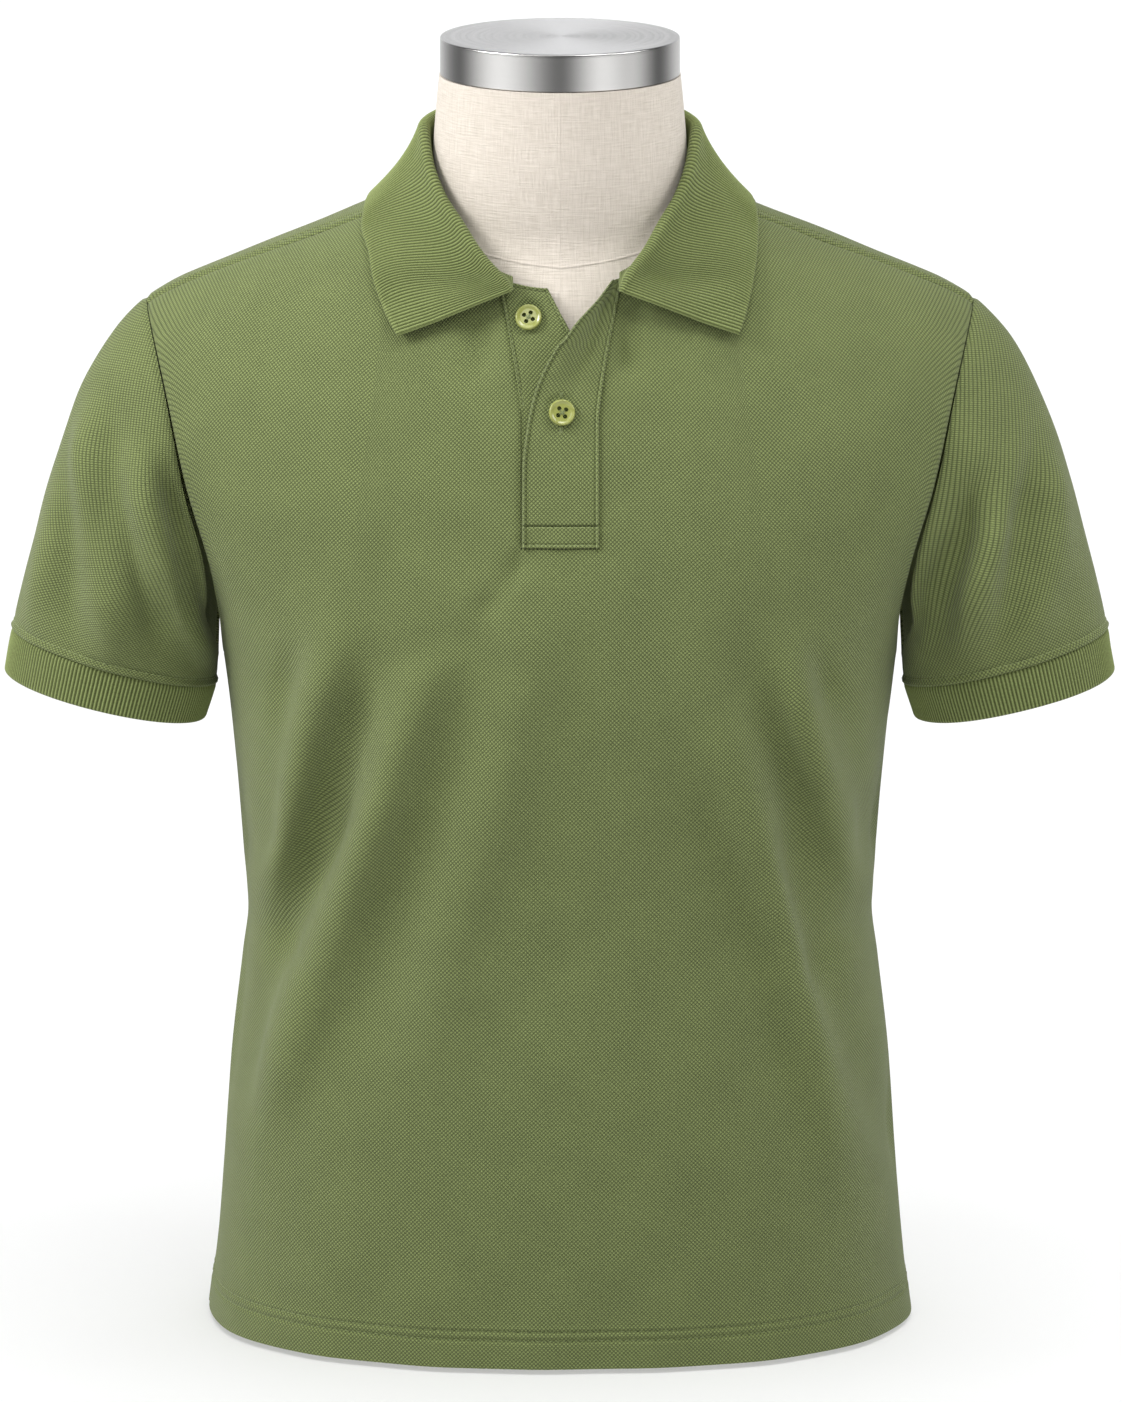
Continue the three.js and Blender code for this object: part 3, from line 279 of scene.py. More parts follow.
LINEN = (0.80, 0.74, 0.655)
linen, tree, shader = new_material("linen cover", LINEN, 0.9, sheen=0.15)
across_up, apart = cloth_place(tree)
THREAD_PITCH = 0.9
weft = calc(tree, "SINE", times(tree, apart["X"], 2 * math.pi / THREAD_PITCH))
warp = calc(tree, "SINE", times(tree, apart["Y"], 2 * math.pi / THREAD_PITCH))
weave = plus(tree, times(tree, times(tree, weft, warp), 0.25), 0.5)
slub_across = noise(tree, stretch(tree, across_up, (0.08, 1.1, 1)), 1.0, 3)
slub_up = noise(tree, stretch(tree, across_up, (1.1, 0.08, 1)), 1.0, 3)
slubs = times(tree, plus(tree, slub_across, slub_up), 0.5)
here = split(tree, object_place(tree))
# The neck seam lies in a plane that rises towards the back, and the front seam where x is 0
SEAM_Z, SEAM_Y, SEAM_RISE = 0.609, -0.065, 0.45
rise = times(tree, minus(tree, here["Y"], SEAM_Y), SEAM_RISE)
off_neck = minus(tree, minus(tree, here["Z"], SEAM_Z), rise)


def line_mark(tree, distance, width):
    """1 on a line and 0 away from it, for a distance in metres and a width in millimetres."""
    near = calc(tree, "DIVIDE", calc(tree, "ABSOLUTE", distance), width * MM)
    return calc(tree, "MAXIMUM", minus(tree, 1.0, near), 0.0)


neck_line = line_mark(tree, off_neck, 0.8)
front_line = times(tree, line_mark(tree, here["X"], 0.7), 0.35)
seams = calc(tree, "MAXIMUM", neck_line, front_line)
shade = times(tree, minus(tree, slubs, 0.5), 1.9)
shade = minus(tree, plus(tree, shade, 0.5), times(tree, seams, 0.14))
tree.links.new(tint(tree, shade, (0.51, 0.455, 0.385), (0.74, 0.675, 0.60)), shader.inputs["Base Color"])
bumps = relief(tree, seams, 0.35)
bumps = relief(tree, slubs, 0.8, bumps)
tree.links.new(relief(tree, weave, 0.09, bumps), shader.inputs["Normal"])

FORM_COLUMNS = 168
heights = np.concatenate([
    [0, 0.6, 2, 4, 8, 12], np.arange(18, 538, 6.5), np.arange(540, 648, 2.2), np.arange(650, 702, 3), [703.4],
])
turns = np.arange(FORM_COLUMNS) / FORM_COLUMNS * 2 * math.pi
turn_grid, height_grid = np.meshgrid(turns, heights)
radius, dx, dy = form_radius(turn_grid, height_grid)
form_points = np.stack([radius * dx, radius * dy, height_grid], axis=-1)
form_ids = np.arange(form_points[..., 0].size).reshape(radius.shape)
cells = grid_faces(form_ids)
form_faces = [cells.reshape(-1, 4), form_ids[0][::-1][None], form_ids[-1][None]]
form_knit = np.stack([np.arctan2(dx, -dy) * 75, height_grid, 0 * dx], axis=-1).reshape(-1, 3)
make_piece("linen_form", form_points.reshape(-1, 3), form_faces, linen, "linen", ["dress_form"], form_knit)

# Neck cap
# A turned disc of brushed stainless steel that closes the top of the form's neck. Its rim is
# brushed round and its top in circles, and its edges are eased.

steel, tree, shader = new_material("brushed steel", (0.60, 0.595, 0.585), 0.24, metallic=1.0)
shader.inputs["Anisotropic"].default_value = 0.75
parts = split(tree, object_place(tree))
x_squared, y_squared = times(tree, parts["X"], parts["X"]), times(tree, parts["Y"], parts["Y"])
from_axis = calc(tree, "SQRT", plus(tree, x_squared, y_squared))
BRUSH_FINENESS = 2600.0
brush = add_node(tree, "ShaderNodeCombineXYZ", {
    0: times(tree, from_axis, BRUSH_FINENESS),
    1: times(tree, parts["Z"], BRUSH_FINENESS),
}).outputs[0]
tree.links.new(relief(tree, noise(tree, brush, 1.0, 3), 0.02), shader.inputs["Normal"])
grain = plus(tree, 0.17, times(tree, noise(tree, brush, 0.5, 2), 0.14))
tree.links.new(grain, shader.inputs["Roughness"])
round_tangent = add_node(tree, "ShaderNodeTangent", direction_type="RADIAL", axis="Z")
tree.links.new(round_tangent.outputs[0], shader.inputs["Tangent"])
# Painted reflection: light and dark stripes up the rim's colour stand in for what brushed steel would mirror.
# Degrees from the front, and how light
PAINTED_REFLECTION_BANDS = [(-180, 0.45), (-150, 0.2), (-118, 0.75), (-88, 0.4), (-57, 0.1), (-30, 0.8), (0, 0.14), (21, 0.74),
         (35, 0.55), (55, 0.09), (76, 0.4), (104, 0.72), (142, 0.2), (180, 0.45)]
turn_round = calc(tree, "ARCTAN2", parts["X"], times(tree, parts["Y"], -1.0))
turn_share = plus(tree, calc(tree, "DIVIDE", turn_round, 2 * math.pi), 0.5)
painted_reflection_ramp = add_node(tree, "ShaderNodeValToRGB", {0: turn_share})
painted_reflection_ramp.color_ramp.interpolation = "EASE"
for degrees, grey in PAINTED_REFLECTION_BANDS[1:-1]:
    stop = painted_reflection_ramp.color_ramp.elements.new(0.5 + degrees / 360)
    stop.color = (grey, grey * 0.99, grey * 0.965, 1)
for stop in (painted_reflection_ramp.color_ramp.elements[0], painted_reflection_ramp.color_ramp.elements[-1]):
    stop.color = (0.45, 0.445, 0.435, 1)
# The top takes a plain grey with faint lighter and darker wedges round it, a painted reflection of circular
# brushing
face_up = split(tree, add_node(tree, "ShaderNodeNewGeometry").outputs["Normal"])
on_top = calc(tree, "GREATER_THAN", face_up["Z"], 0.7)
painted_top_sectors = plus(tree, 0.4, times(tree, calc(tree, "SINE", times(tree, turn_round, 3.0)), 0.03))
mixed = add_node(tree, "ShaderNodeMix", {"Factor": on_top}, data_type="RGBA")
tree.links.new(painted_reflection_ramp.outputs["Color"], mixed.inputs["A"])
tree.links.new(painted_top_sectors, mixed.inputs["B"])
tree.links.new(mixed.outputs["Result"], shader.inputs["Base Color"])

CAP_RADIUS, CAP_BOTTOM, CAP_TOP, CAP_EDGE = 65.6, 703.8, 724.2, 1.0


def turned(profile, columns):
    """Points and faces of a solid turned round the Z axis, from its profile's foot to its top."""
    turn = np.arange(columns) / columns * 2 * math.pi
    ring = np.array(profile, float)
    points = np.stack([ring[:, :1] * np.cos(turn), ring[:, :1] * np.sin(turn),
                       ring[:, 1:] + 0 * turn], axis=-1)
    ids = np.arange(len(ring) * columns).reshape(len(ring), columns)
    cells = grid_faces(ids)
    return points.reshape(-1, 3), [cells.reshape(-1, 4), ids[0][::-1][None], ids[-1][None]]


def eased(radius, z, size, start, steps=5):
    """A quarter-round edge of a turned profile."""
    return [(radius - size + size * math.cos(a), z + size * math.sin(a))
            for a in np.radians(np.linspace(start, start + 90, steps + 1))]


profile = [(40, CAP_BOTTOM)]
profile += eased(CAP_RADIUS, CAP_BOTTOM + 0.5, 0.5, -90)
profile += [(CAP_RADIUS, z) for z in np.linspace(CAP_BOTTOM + 3, CAP_TOP - 3, 4)]
profile += eased(CAP_RADIUS, CAP_TOP - CAP_EDGE, CAP_EDGE, 0)
profile += [(r, CAP_TOP) for r in np.linspace(62, 6, 8)]
make_piece("steel_cap", *turned(profile, 160), steel, "steel", ["neck_cap"])

# Front and back panels
# Two pieces of cotton pique, knitted in small cells. The back one comes forward over the shoulders
# to the shoulder seams. The hem is turned up and held by two rows of stitches.

HEM_Z = 3
CLOTH = 1.6
SEAM_GAP = 0.5
NECK_X = 77.5
SLOT_FOOT = 463
TIP_X = SHOULDER["tip_x"]
BODY_SECTIONS = np.array([
    (3, 197.3, 127, 117), (34, 193.3, 126, 115), (92, 188.4, 125, 110), (150, 184.2, 124, 105),
    (208, 177.4, 122, 101), (237, 174, 121, 100), (266, 176, 121.5, 102), (324, 180.3, 124, 109),
    (380, 186.3, 125, 115), (405, 191.7, 125, 117), (435, 203, 125, 118), (485, 226, 125, 118),
    (534, 242, 125, 118), (579, 248, 125, 118), (680, 250, 125, 118),
], float)
ARMHOLE = np.array([(380, 186.3), (405, 187.2), (435, 192.2), (485, 205.5), (534, 216), (579, 227.5)], float)
# Large folds, about as in the part: upper x and z, lower x and z, width and height
FRONT_FOLDS = [
    (-121, 425, -170, 250, 10, 6.5), (-96, 405, -160, 215, 11, -3), (-62, 420, -174, 114, 11, 6.5),
    (-40, 405, -122, 150, 14, -2.6), (-8, 445, -78, 165, 14, 3.6), (118, 412, 168, 250, 9, 5.5),
    (101, 400, 157, 235, 10, -3), (80, 385, 174, 105, 12, 6), (60, 352, 140, 120, 16, -2.6),
]
BACK_FOLDS = [
    (-120, 400, -160, 240, 15, 4), (-84, 372, -140, 196, 16, -3.2), (-46, 346, -74, 176, 17, 3),
    (124, 396, 158, 230, 15, 4), (88, 380, 136, 206, 16, -3.2), (40, 330, 66, 160, 17, 2.6),
]
# Smaller creases that only the cloth has
FRONT_CREASES = [
    (-21, 464, -40, 424, 4.5, -2.2), (-24, 450, -22, 400, 7, 1.2), (-150, 384, -166, 320, 5, 1.6),
    (-126, 372, -166, 270, 6, -1.6), (-178, 360, -172, 250, 6, -1.2), (148, 386, 168, 316, 5, 1.6),
    (124, 366, 166, 262, 6, -1.6), (178, 360, 172, 250, 6, -1.2), (-170, 236, -120, 216, 7, -1.4),
    (172, 238, 128, 214, 7, -1.4), (-128, 405, -164, 268, 7, 2.5), (-104, 390, -173, 172, 8, -3.6),
    (-96, 335, -174, 112, 9, 3.4), (128, 406, 160, 262, 6, 4), (142, 406, 178, 262, 5, -4),
    (90, 345, 168, 78, 8, 4), (114, 345, 192, 82, 7, -6.5), (-141, 405, -176, 262, 5, -4.5),
    (-66, 442, -74, 392, 11, -2.4), (-122, 345, -180, 130, 6.5, -8),
    (47, 596, 30, 552, 6, -3.8), (-40, 592, -50, 548, 7, -3.2), (-104, 452, -30, 470, 12, -1.6),
]
BACK_CREASES = [
    (-176, 240, -110, 214, 7, -1.6), (176, 240, 112, 216, 7, -1.6), (-130, 384, -168, 300, 6, -1.4),
    (132, 384, 168, 300, 6, -1.4), (-60, 470, -110, 330, 14, 1.4), (66, 468, 116, 330, 14, 1.4),
    (-30, 240, 40, 214, 11, 1.5),
]


def section_at(side, x, z):
    half = curve_at(BODY_SECTIONS[:, 0], BODY_SECTIONS[:, 1], z)
    reach = curve_at(BODY_SECTIONS[:, 0], BODY_SECTIONS[:, 2 if side == "front" else 3], z)
    across = np.minimum(1, np.abs(x) / half)
    return reach * (1 - across ** SECTION_ROUNDNESS) ** (1 / SECTION_ROUNDNESS)


def face_point(side, x, z):
    """A point of the shirt's face, by its place seen from the front."""
    depth = depth_at(BODY_SECTIONS, shoulder_top, side, x, z)
    x, z = np.broadcast_arrays(x, z)
    return np.stack([x, -depth if side == "front" else depth, z], axis=-1).astype(float)


def arch_point(side, x, angle):
    """A point above the armpit, by x and an angle that is 90 degrees on top of the shoulder."""
    x, angle = np.broadcast_arrays(np.asarray(x, float), np.asarray(angle, float))
    found = np.zeros(x.shape + (3,))
    for face in ("front", "back"):
        mine = (angle <= math.pi / 2) == (face == side)
        a = np.where(angle <= math.pi / 2, angle, math.pi - angle)
        rise = np.sin(a) ** (2 / ARCH_ROUNDNESS[face])
        z = mix(ARMPIT_Z, shoulder_top(x), rise)
        arch = np.maximum(0, np.cos(a)) ** (2 / ARCH_ROUNDNESS[face])
        y = section_at(face, x, z) * arch * (-1 if face == "front" else 1)
        found[mine] = np.stack([x, y, z], axis=-1)[mine]
    return found


def angle_at_height(side, x, z):
    return halve(lambda a: arch_point(side, x, a)[..., 2], z, 0 * x, 0 * x + math.pi / 2)


def angle_at_depth(side, x, depth):
    return halve(lambda a: -np.abs(arch_point(side, x, a)[..., 1]), -depth, 0 * x, 0 * x + math.pi / 2)


def armhole_x(side, angle):
    x = np.full(np.shape(angle), TIP_X, float)
    for _ in range(8):
        x = curve_at(ARMHOLE[:, 0], ARMHOLE[:, 1], arch_point(side, x, angle)[..., 2])
    return x


def seam_depth(x):
    return mix(16, 6, np.clip((np.abs(x) - NECK_X) / (TIP_X - NECK_X), 0, 1))


one = np.zeros(1)
NECK_POINT_Z = arch_point("front", NECK_X, angle_at_depth("front", one + NECK_X, 16))[0, 2]
TIP_ANGLE = halve(lambda a: -np.abs(arch_point("front", armhole_x("front", a), a)[..., 1]), -6,
                  one + math.pi / 4, one + math.pi / 2)[0]
SEAM_END_X = armhole_x("front", one + TIP_ANGLE)[0]


def neckline_front(x):
    return mix(599, NECK_POINT_Z, np.clip(np.abs(x) / NECK_X, 0, 1) ** 2.6)


def neckline_back(turn):
    """x and angle on the neckline, from the shoulder seam (0) to the middle of the back (1)."""
    power = 2 / 2.3
    x = NECK_X * np.maximum(0, np.cos(turn * math.pi / 2)) ** power
    y = 88 * np.sin(turn * math.pi / 2) ** power - 16
    behind = angle_at_depth("back", x, np.maximum(y, 0))
    ahead = math.pi - angle_at_depth("front", x, np.maximum(-y, 0))
    return x, np.where(y > 0, behind, ahead)


def placket_half(z):
    return mix(21, 33, np.clip((z - 532) / 68, 0, 1) ** 1.3)


def spread(t):
    return np.sin(t * math.pi / 2)


def fold_height(folds, x, z, uneven=0.0):
    """Height of soft folds at a place. Uneven ones wander and swell along their way."""
    total = np.zeros(np.shape(x))
    for k, (x0, z0, x1, z1, width, height) in enumerate(folds):
        length = math.hypot(x1 - x0, z1 - z0)
        ux, uz = (x1 - x0) / length, (z1 - z0) / length
        along = ((x - x0) * ux + (z - z0) * uz) / length
        wander = uneven * width * 0.6 * np.sin(along * 5.2 + 1.7 * k)
        off = (x - x0) * uz - (z - z0) * ux + wander
        swell = 1 + uneven * 0.35 * np.sin(along * 7.9 + 2.3 * k)
        fade = smooth((along + 0.1) / 0.35) * smooth((1.1 - along) / 0.35)
        total += height * swell * fade * np.exp(-(off ** 2) / (2 * width ** 2))
    return total


def unevenness(a, b, size, phase=0.0):
    """Soft irregular waves of about a given size, between -1 and 1."""
    k = 2 * math.pi / size
    return (np.sin(a * k + 1.3 * np.sin(b * k * 0.61 + phase) + phase) * 0.4
            + np.sin((a * 0.52 + b * 0.86) * k * 0.83 + 2.1 + phase) * 0.35
            + np.sin((a * 0.71 - b * 0.7) * k * 1.37 + 4.4 - phase) * 0.25)


def front_point(row, col):
    """The front panel by row, 12 up to the armpit and 26 at its top, and column, 15 at its side."""
    row, col = np.broadcast_arrays(np.asarray(row, float), np.asarray(col, float))
    place = np.abs(col) - 2
    side, centre = np.clip(place / 13, 0, 1), np.clip(np.abs(col) / 2, 0, 1)
    z = mix(HEM_Z, ARMPIT_Z, np.minimum(row, 12) / 12)
    inner = placket_half(z) + SEAM_GAP / 2
    half = curve_at(BODY_SECTIONS[:, 0], BODY_SECTIONS[:, 1], z)
    low_x = np.where(place <= 0, inner * centre, mix(inner, half, spread(side)))
    low = face_point("front", np.sign(col) * low_x, z)
    slot_x, top_x = 21 + SEAM_GAP / 2, 33 + SEAM_GAP / 2
    share, slot_share = np.clip((row - 12) / 14, 0, 1), 5 / 14
    one_place = place[0]
    end_x = np.where(one_place > 6, mix(NECK_X, SEAM_END_X, (one_place - 6) / 7),
                     mix(top_x, NECK_X, one_place / 6))
    end_x = np.where(one_place <= 0, top_x, end_x)
    end_angle = np.where(one_place < 6, angle_at_height("front", end_x, neckline_front(end_x)),
                         angle_at_depth("front", end_x, seam_depth(end_x) + SEAM_GAP * 1.2))
    slot_place = np.where(one_place <= 0, slot_x * centre[0], slot_x)
    foot_angle = angle_at_height("front", slot_place, SLOT_FOOT + 0 * end_x)
    slot_angle = mix(foot_angle, end_angle * slot_share, smooth(side[0]))
    angle = np.where(share < slot_share, slot_angle * share / slot_share,
                     mix(slot_angle, end_angle, (share - slot_share) / (1 - slot_share)))
    edge = armhole_x("front", angle)
    x = edge
    for _ in range(3):
        inner = placket_half(arch_point("front", x, angle)[..., 2]) + SEAM_GAP / 2
        end_share = (end_x - top_x) / (SEAM_END_X - top_x)
        x = np.where(place <= 0, inner * centre, mix(inner, edge, mix(spread(side), end_share, share)))
    high = arch_point("front", np.sign(col) * x, angle)
    return np.where((row <= 12)[..., None], low, high)


def back_point(row, col):
    """The back panel by row, as in front, and column, 13 at its side and 6 at the neck's side."""
    row, col = np.broadcast_arrays(np.asarray(row, float), np.asarray(col, float))
    place = np.abs(col)
    side = place / 13
    z = mix(HEM_Z, ARMPIT_Z, np.minimum(row, 12) / 12)
    half = curve_at(BODY_SECTIONS[:, 0], BODY_SECTIONS[:, 1], z)
    low = face_point("back", np.sign(col) * half * spread(side), z)
    share = np.clip((row - 12) / 14, 0, 1)
    one_place = place[0]
    neck_x, neck_angle = neckline_back(1 - np.minimum(one_place / 6, 1))
    seam_x = mix(NECK_X, SEAM_END_X, np.clip((one_place - 6) / 7, 0, 1))
    seam_angle = math.pi - angle_at_depth("front", seam_x, seam_depth(seam_x))
    end_x = np.where(one_place <= 6, neck_x, seam_x)
    end_angle = np.where(one_place <= 6, neck_angle, seam_angle)
    angle = end_angle * share
    x = armhole_x("back", angle) * mix(spread(side), end_x / SEAM_END_X, share)
    high = arch_point("back", np.sign(col) * x, angle)
    return np.where((row <= 12)[..., None], low, high)


def normals_of(grid, closed=False):
    """The outward direction at each point of a grid, with rows up and columns to the right."""
    if closed:
        across = np.roll(grid, -1, axis=1) - np.roll(grid, 1, axis=1)
    else:
        across = np.gradient(grid, axis=1)
    normal = np.cross(across, np.gradient(grid, axis=0))
    return normal / np.maximum(np.linalg.norm(normal, axis=-1, keepdims=True), 1e-9)


def lengths_along(grid, axis):
    """Distance along a grid's rows or columns, from the first point of each."""
    step = np.linalg.norm(np.diff(grid, axis=axis), axis=-1)
    start = np.zeros_like(step[:1] if axis == 0 else step[:, :1])
    return np.cumsum(np.concatenate([start, step], axis=axis), axis=axis)


def shell(name, outer, thickness, material, slot, node, normal, knit, keep=None):
    """A thin cloth wall with its face on a grid of points, whose places laid flat are in knit."""
    inner = outer - normal * thickness
    count = outer[..., 0].size
    cells = grid_faces(np.arange(count).reshape(outer.shape[:2]), closed=False)
    if keep is None:
        keep = np.ones(cells.shape[:2], bool)
    padded = np.pad(keep, 1)
    faces = [cells[keep], cells[keep][:, ::-1] + count]
    for beside, i, j in ((padded[:-2, 1:-1], 0, 1), (padded[2:, 1:-1], 2, 3),
                         (padded[1:-1, :-2], 3, 0), (padded[1:-1, 2:], 1, 2)):
        rim = cells[keep & ~beside]
        faces.append(np.stack([rim[:, i], rim[:, i] + count, rim[:, j] + count, rim[:, j]], axis=-1))
    points = np.concatenate([outer.reshape(-1, 3), inner.reshape(-1, 3)])
    flat = np.stack([knit[0], knit[1], 0 * knit[0]], axis=-1)
    return make_piece(name, points, faces, material, slot, [node], np.tile(flat.reshape(-1, 3), (2, 1)))


# The dark colour is painted shade in the pits between the knit's raised cells, the light one the raised cells
# themselves
PIQUE_SHADED_PIT, PIQUE_LIGHT = (0.014, 0.021, 0.002), (0.238, 0.290, 0.095)
CELL = 2.2
pique, tree, shader = new_material("cotton pique", PIQUE_LIGHT, 0.88, sheen=0.1)
knit_place, parts = cloth_place(tree)
slant_up = times(tree, plus(tree, parts["X"], parts["Y"]), math.pi / CELL)
slant_down = times(tree, minus(tree, parts["X"], parts["Y"]), math.pi / CELL)
crossed = times(tree, calc(tree, "SINE", slant_up), calc(tree, "SINE", slant_down))
cells_height = calc(tree, "ABSOLUTE", crossed)
fibre = noise(tree, knit_place, 1.6, 4)
cloud = noise(tree, knit_place, 0.035, 3)
# Lighter on the raised cells and darker in the pits is painted shade in the knit's hollows. The fibre and
# cloud noise add the knit's own random tone
yarn_tone_and_hollow_shade = plus(tree, times(tree, calc(tree, "POWER", cells_height, 0.6), 0.85), times(tree, fibre, 0.2))
yarn_tone_and_hollow_shade = plus(tree, yarn_tone_and_hollow_shade, times(tree, minus(tree, cloud, 0.55), 0.15))
tree.links.new(tint(tree, yarn_tone_and_hollow_shade, PIQUE_SHADED_PIT, PIQUE_LIGHT), shader.inputs["Base Color"])
bumps = relief(tree, cells_height, 0.4)
tree.links.new(relief(tree, fibre, 0.15, bumps), shader.inputs["Normal"])

# How far up from the hem's edge its rows of stitches are, and how deep its turned-up part is
HEM_ROWS = (16, 21)
HEM_DEPTH = 24.5


def hem_relief(u, up):
    """The turned-up hem: two layers, pressed along its two rows of stitches, with small puckers."""
    doubled = 0.5 * smooth((HEM_DEPTH - up) / 2.5)
    pressed = sum(-1.0 * np.exp(-((up - row) / 1.0) ** 2) for row in HEM_ROWS)
    pucker = 0.22 * unevenness(u, up * 0.4, 7.5) * np.exp(-((up - 18.5) / 5.5) ** 2)
    wave = 0.9 * unevenness(u, up * 0.2, 62, 1.0) * smooth((60 - up) / 60)
    return doubled + pressed + pucker + wave


def seam_roll(distance, depth=0.9, width=1.5):
    """Cloth turning in towards a seam, at a distance from it."""
    return -depth * np.exp(-((distance / width) ** 2))


def panel_places(grid, middle):
    """Distances on a panel from its middle column and hem, and from its sides and its top."""
    u = lengths_along(grid, 1)
    u = u - u[:, middle:middle + 1]
    v = lengths_along(grid, 0)
    return u, v, np.minimum(np.abs(u[:, -1:]) - np.abs(u), 60), v[-1:] - v


# Rows lie closer at the hem and columns at the side seams and the slot
low_rows = np.concatenate([np.arange(0, 26, 1.05), np.arange(26, 377, 3.3)]) / 377 * 12
panel_rows = np.concatenate([low_rows, np.linspace(12, 17, 28, endpoint=False), np.linspace(17, 26, 62)])
slot_cols = np.linspace(0, 2, 8, endpoint=False)
by_seam = [12.76, 12.88, 12.95, 13]
side_cols = 2 + np.unique(np.concatenate([[0, 0.06, 0.14, 0.26], np.linspace(0.42, 12.6, 56), by_seam]))
half_cols = np.concatenate([slot_cols, side_cols])
front_cols = np.concatenate([-half_cols[:0:-1], half_cols])
rows_grid, cols_grid = np.meshgrid(panel_rows, front_cols, indexing="ij")
front = front_point(rows_grid, cols_grid)
folds = 1.5 * fold_height(FRONT_FOLDS, front[..., 0], front[..., 2], 0.3)
front[..., 1] -= folds * np.clip(-front[..., 1] / 40, 0, 1) + 0.12
normal = normals_of(front)
u, v, to_side, to_top = panel_places(front, len(half_cols) - 1)
SLOT_ROW = 17
beside_slot = np.abs(cols_grid) - 2
below_slot = np.hypot(np.maximum(beside_slot, 0) * 12, (SLOT_ROW - rows_grid) * 17)
to_slot = np.where(rows_grid >= SLOT_ROW, np.abs(beside_slot) * 12.0, below_slot)
lift = fold_height(FRONT_CREASES, front[..., 0], front[..., 2], 1.0) * smooth(to_side / 14)
lift += 0.45 * unevenness(u, v, 74, 0.4) * smooth(to_side / 20) + hem_relief(u, v)
lift += seam_roll(to_side) + seam_roll(to_top, 0.7) * (np.abs(cols_grid) > 2) + seam_roll(to_slot, 0.7, 1.2)
lift += 0.12 * unevenness(v, u * 0.3, 9) * np.exp(-to_slot / 5)
front_face = front + normal * lift[..., None]
# Where a deep fold would sink into the form, the cloth is kept this far ahead of it. This also pushes
# the panel's side edges 3.5 mm ahead, so the side seams stand open
CLEAR_OF_FORM, EASE = 3.4, 2
low, wide = front_face[..., 2] < ARMPIT_Z + 40, np.abs(front_face[..., 0])
form_ahead = depth_at(FORM_SECTIONS, form_top, "front", wide, front_face[..., 2])
room = -front_face[..., 1] - form_ahead - CLEAR_OF_FORM
kept_ahead = EASE * np.exp(np.minimum(room - EASE, 0) / EASE) - room
front_face[..., 1] -= np.where(low & (room < EASE), kept_ahead, 0)
in_slot = np.abs(cols_grid[:-1, :-1] + cols_grid[:-1, 1:]) / 2 < 2
keep = ~((rows_grid[:-1, :-1] >= SLOT_ROW - 1e-6) & in_slot)
front_piece = shell("pique_front", front_face, CLOTH, pique, "pique", "front_panel", normal, (u, v), keep)

back_half = np.unique(np.concatenate([np.linspace(0, 12.6, 68), by_seam]))
back_cols = np.concatenate([back_half[:0:-1], -back_half])
rows_grid, cols_grid = np.meshgrid(panel_rows, back_cols, indexing="ij")
back = back_point(rows_grid, cols_grid)
folds = fold_height(BACK_FOLDS, back[..., 0], back[..., 2])
back[..., 1] += folds * np.clip(back[..., 1] / 40, 0, 1) + 0.12
normal = normals_of(back)
u, v, to_side, to_top = panel_places(back, len(back_half) - 1)
on_shoulder = np.abs(cols_grid) > 6
SHOULDER_ROW = 5.5
lift = fold_height(BACK_CREASES, back[..., 0], back[..., 2], 1.0) * smooth(to_side / 14) * (back[..., 1] > 0)
lift += 0.5 * unevenness(u, v, 82, 2.2) * smooth(to_side / 20) * smooth(to_top / 40) + hem_relief(u, v)
lift += seam_roll(to_side) + seam_roll(to_top, 1.1)
raised, pressed = np.exp(-((to_top - 2.8) / 1.4) ** 2), np.exp(-((to_top - SHOULDER_ROW) / 0.9) ** 2)
lift += (0.6 * raised - 1.0 * pressed) * on_shoulder
back_face = back + normal * lift[..., None]
back_piece = shell("pique_back", back_face, CLOTH, pique, "pique", "back_panel", normal, (u, v))

thread, tree, shader = new_material("sewing thread", (0.20, 0.245, 0.085), 0.6, sheen=0.2)
twist = noise(tree, object_place(tree), 2500, 2)
tree.links.new(tint(tree, twist, (0.13, 0.165, 0.05), (0.27, 0.32, 0.13)), shader.inputs["Base Color"])
tree.links.new(relief(tree, twist, 0.08), shader.inputs["Normal"])

STITCH = {"length": 2.7, "gap": 0.8, "radius": 0.3}


def between(at, places, values):
    """Points read off a row of points, by their places on it."""
    return np.stack([np.interp(at, places, values[:, k]) for k in range(3)], axis=-1)


def walk(path, step):
    """Points evenly spaced along a path, with the path's direction and the place of each."""
    reach = np.concatenate([[0], np.cumsum(np.linalg.norm(np.diff(path, axis=0), axis=1))])
    places = np.arange(step / 2, reach[-1], step)
    along = between(places + 0.5, reach, path) - between(places - 0.5, reach, path)
    along = along / np.maximum(np.linalg.norm(along, axis=1, keepdims=True), 1e-9)
    return between(places, reach, path), along, places / reach[-1]


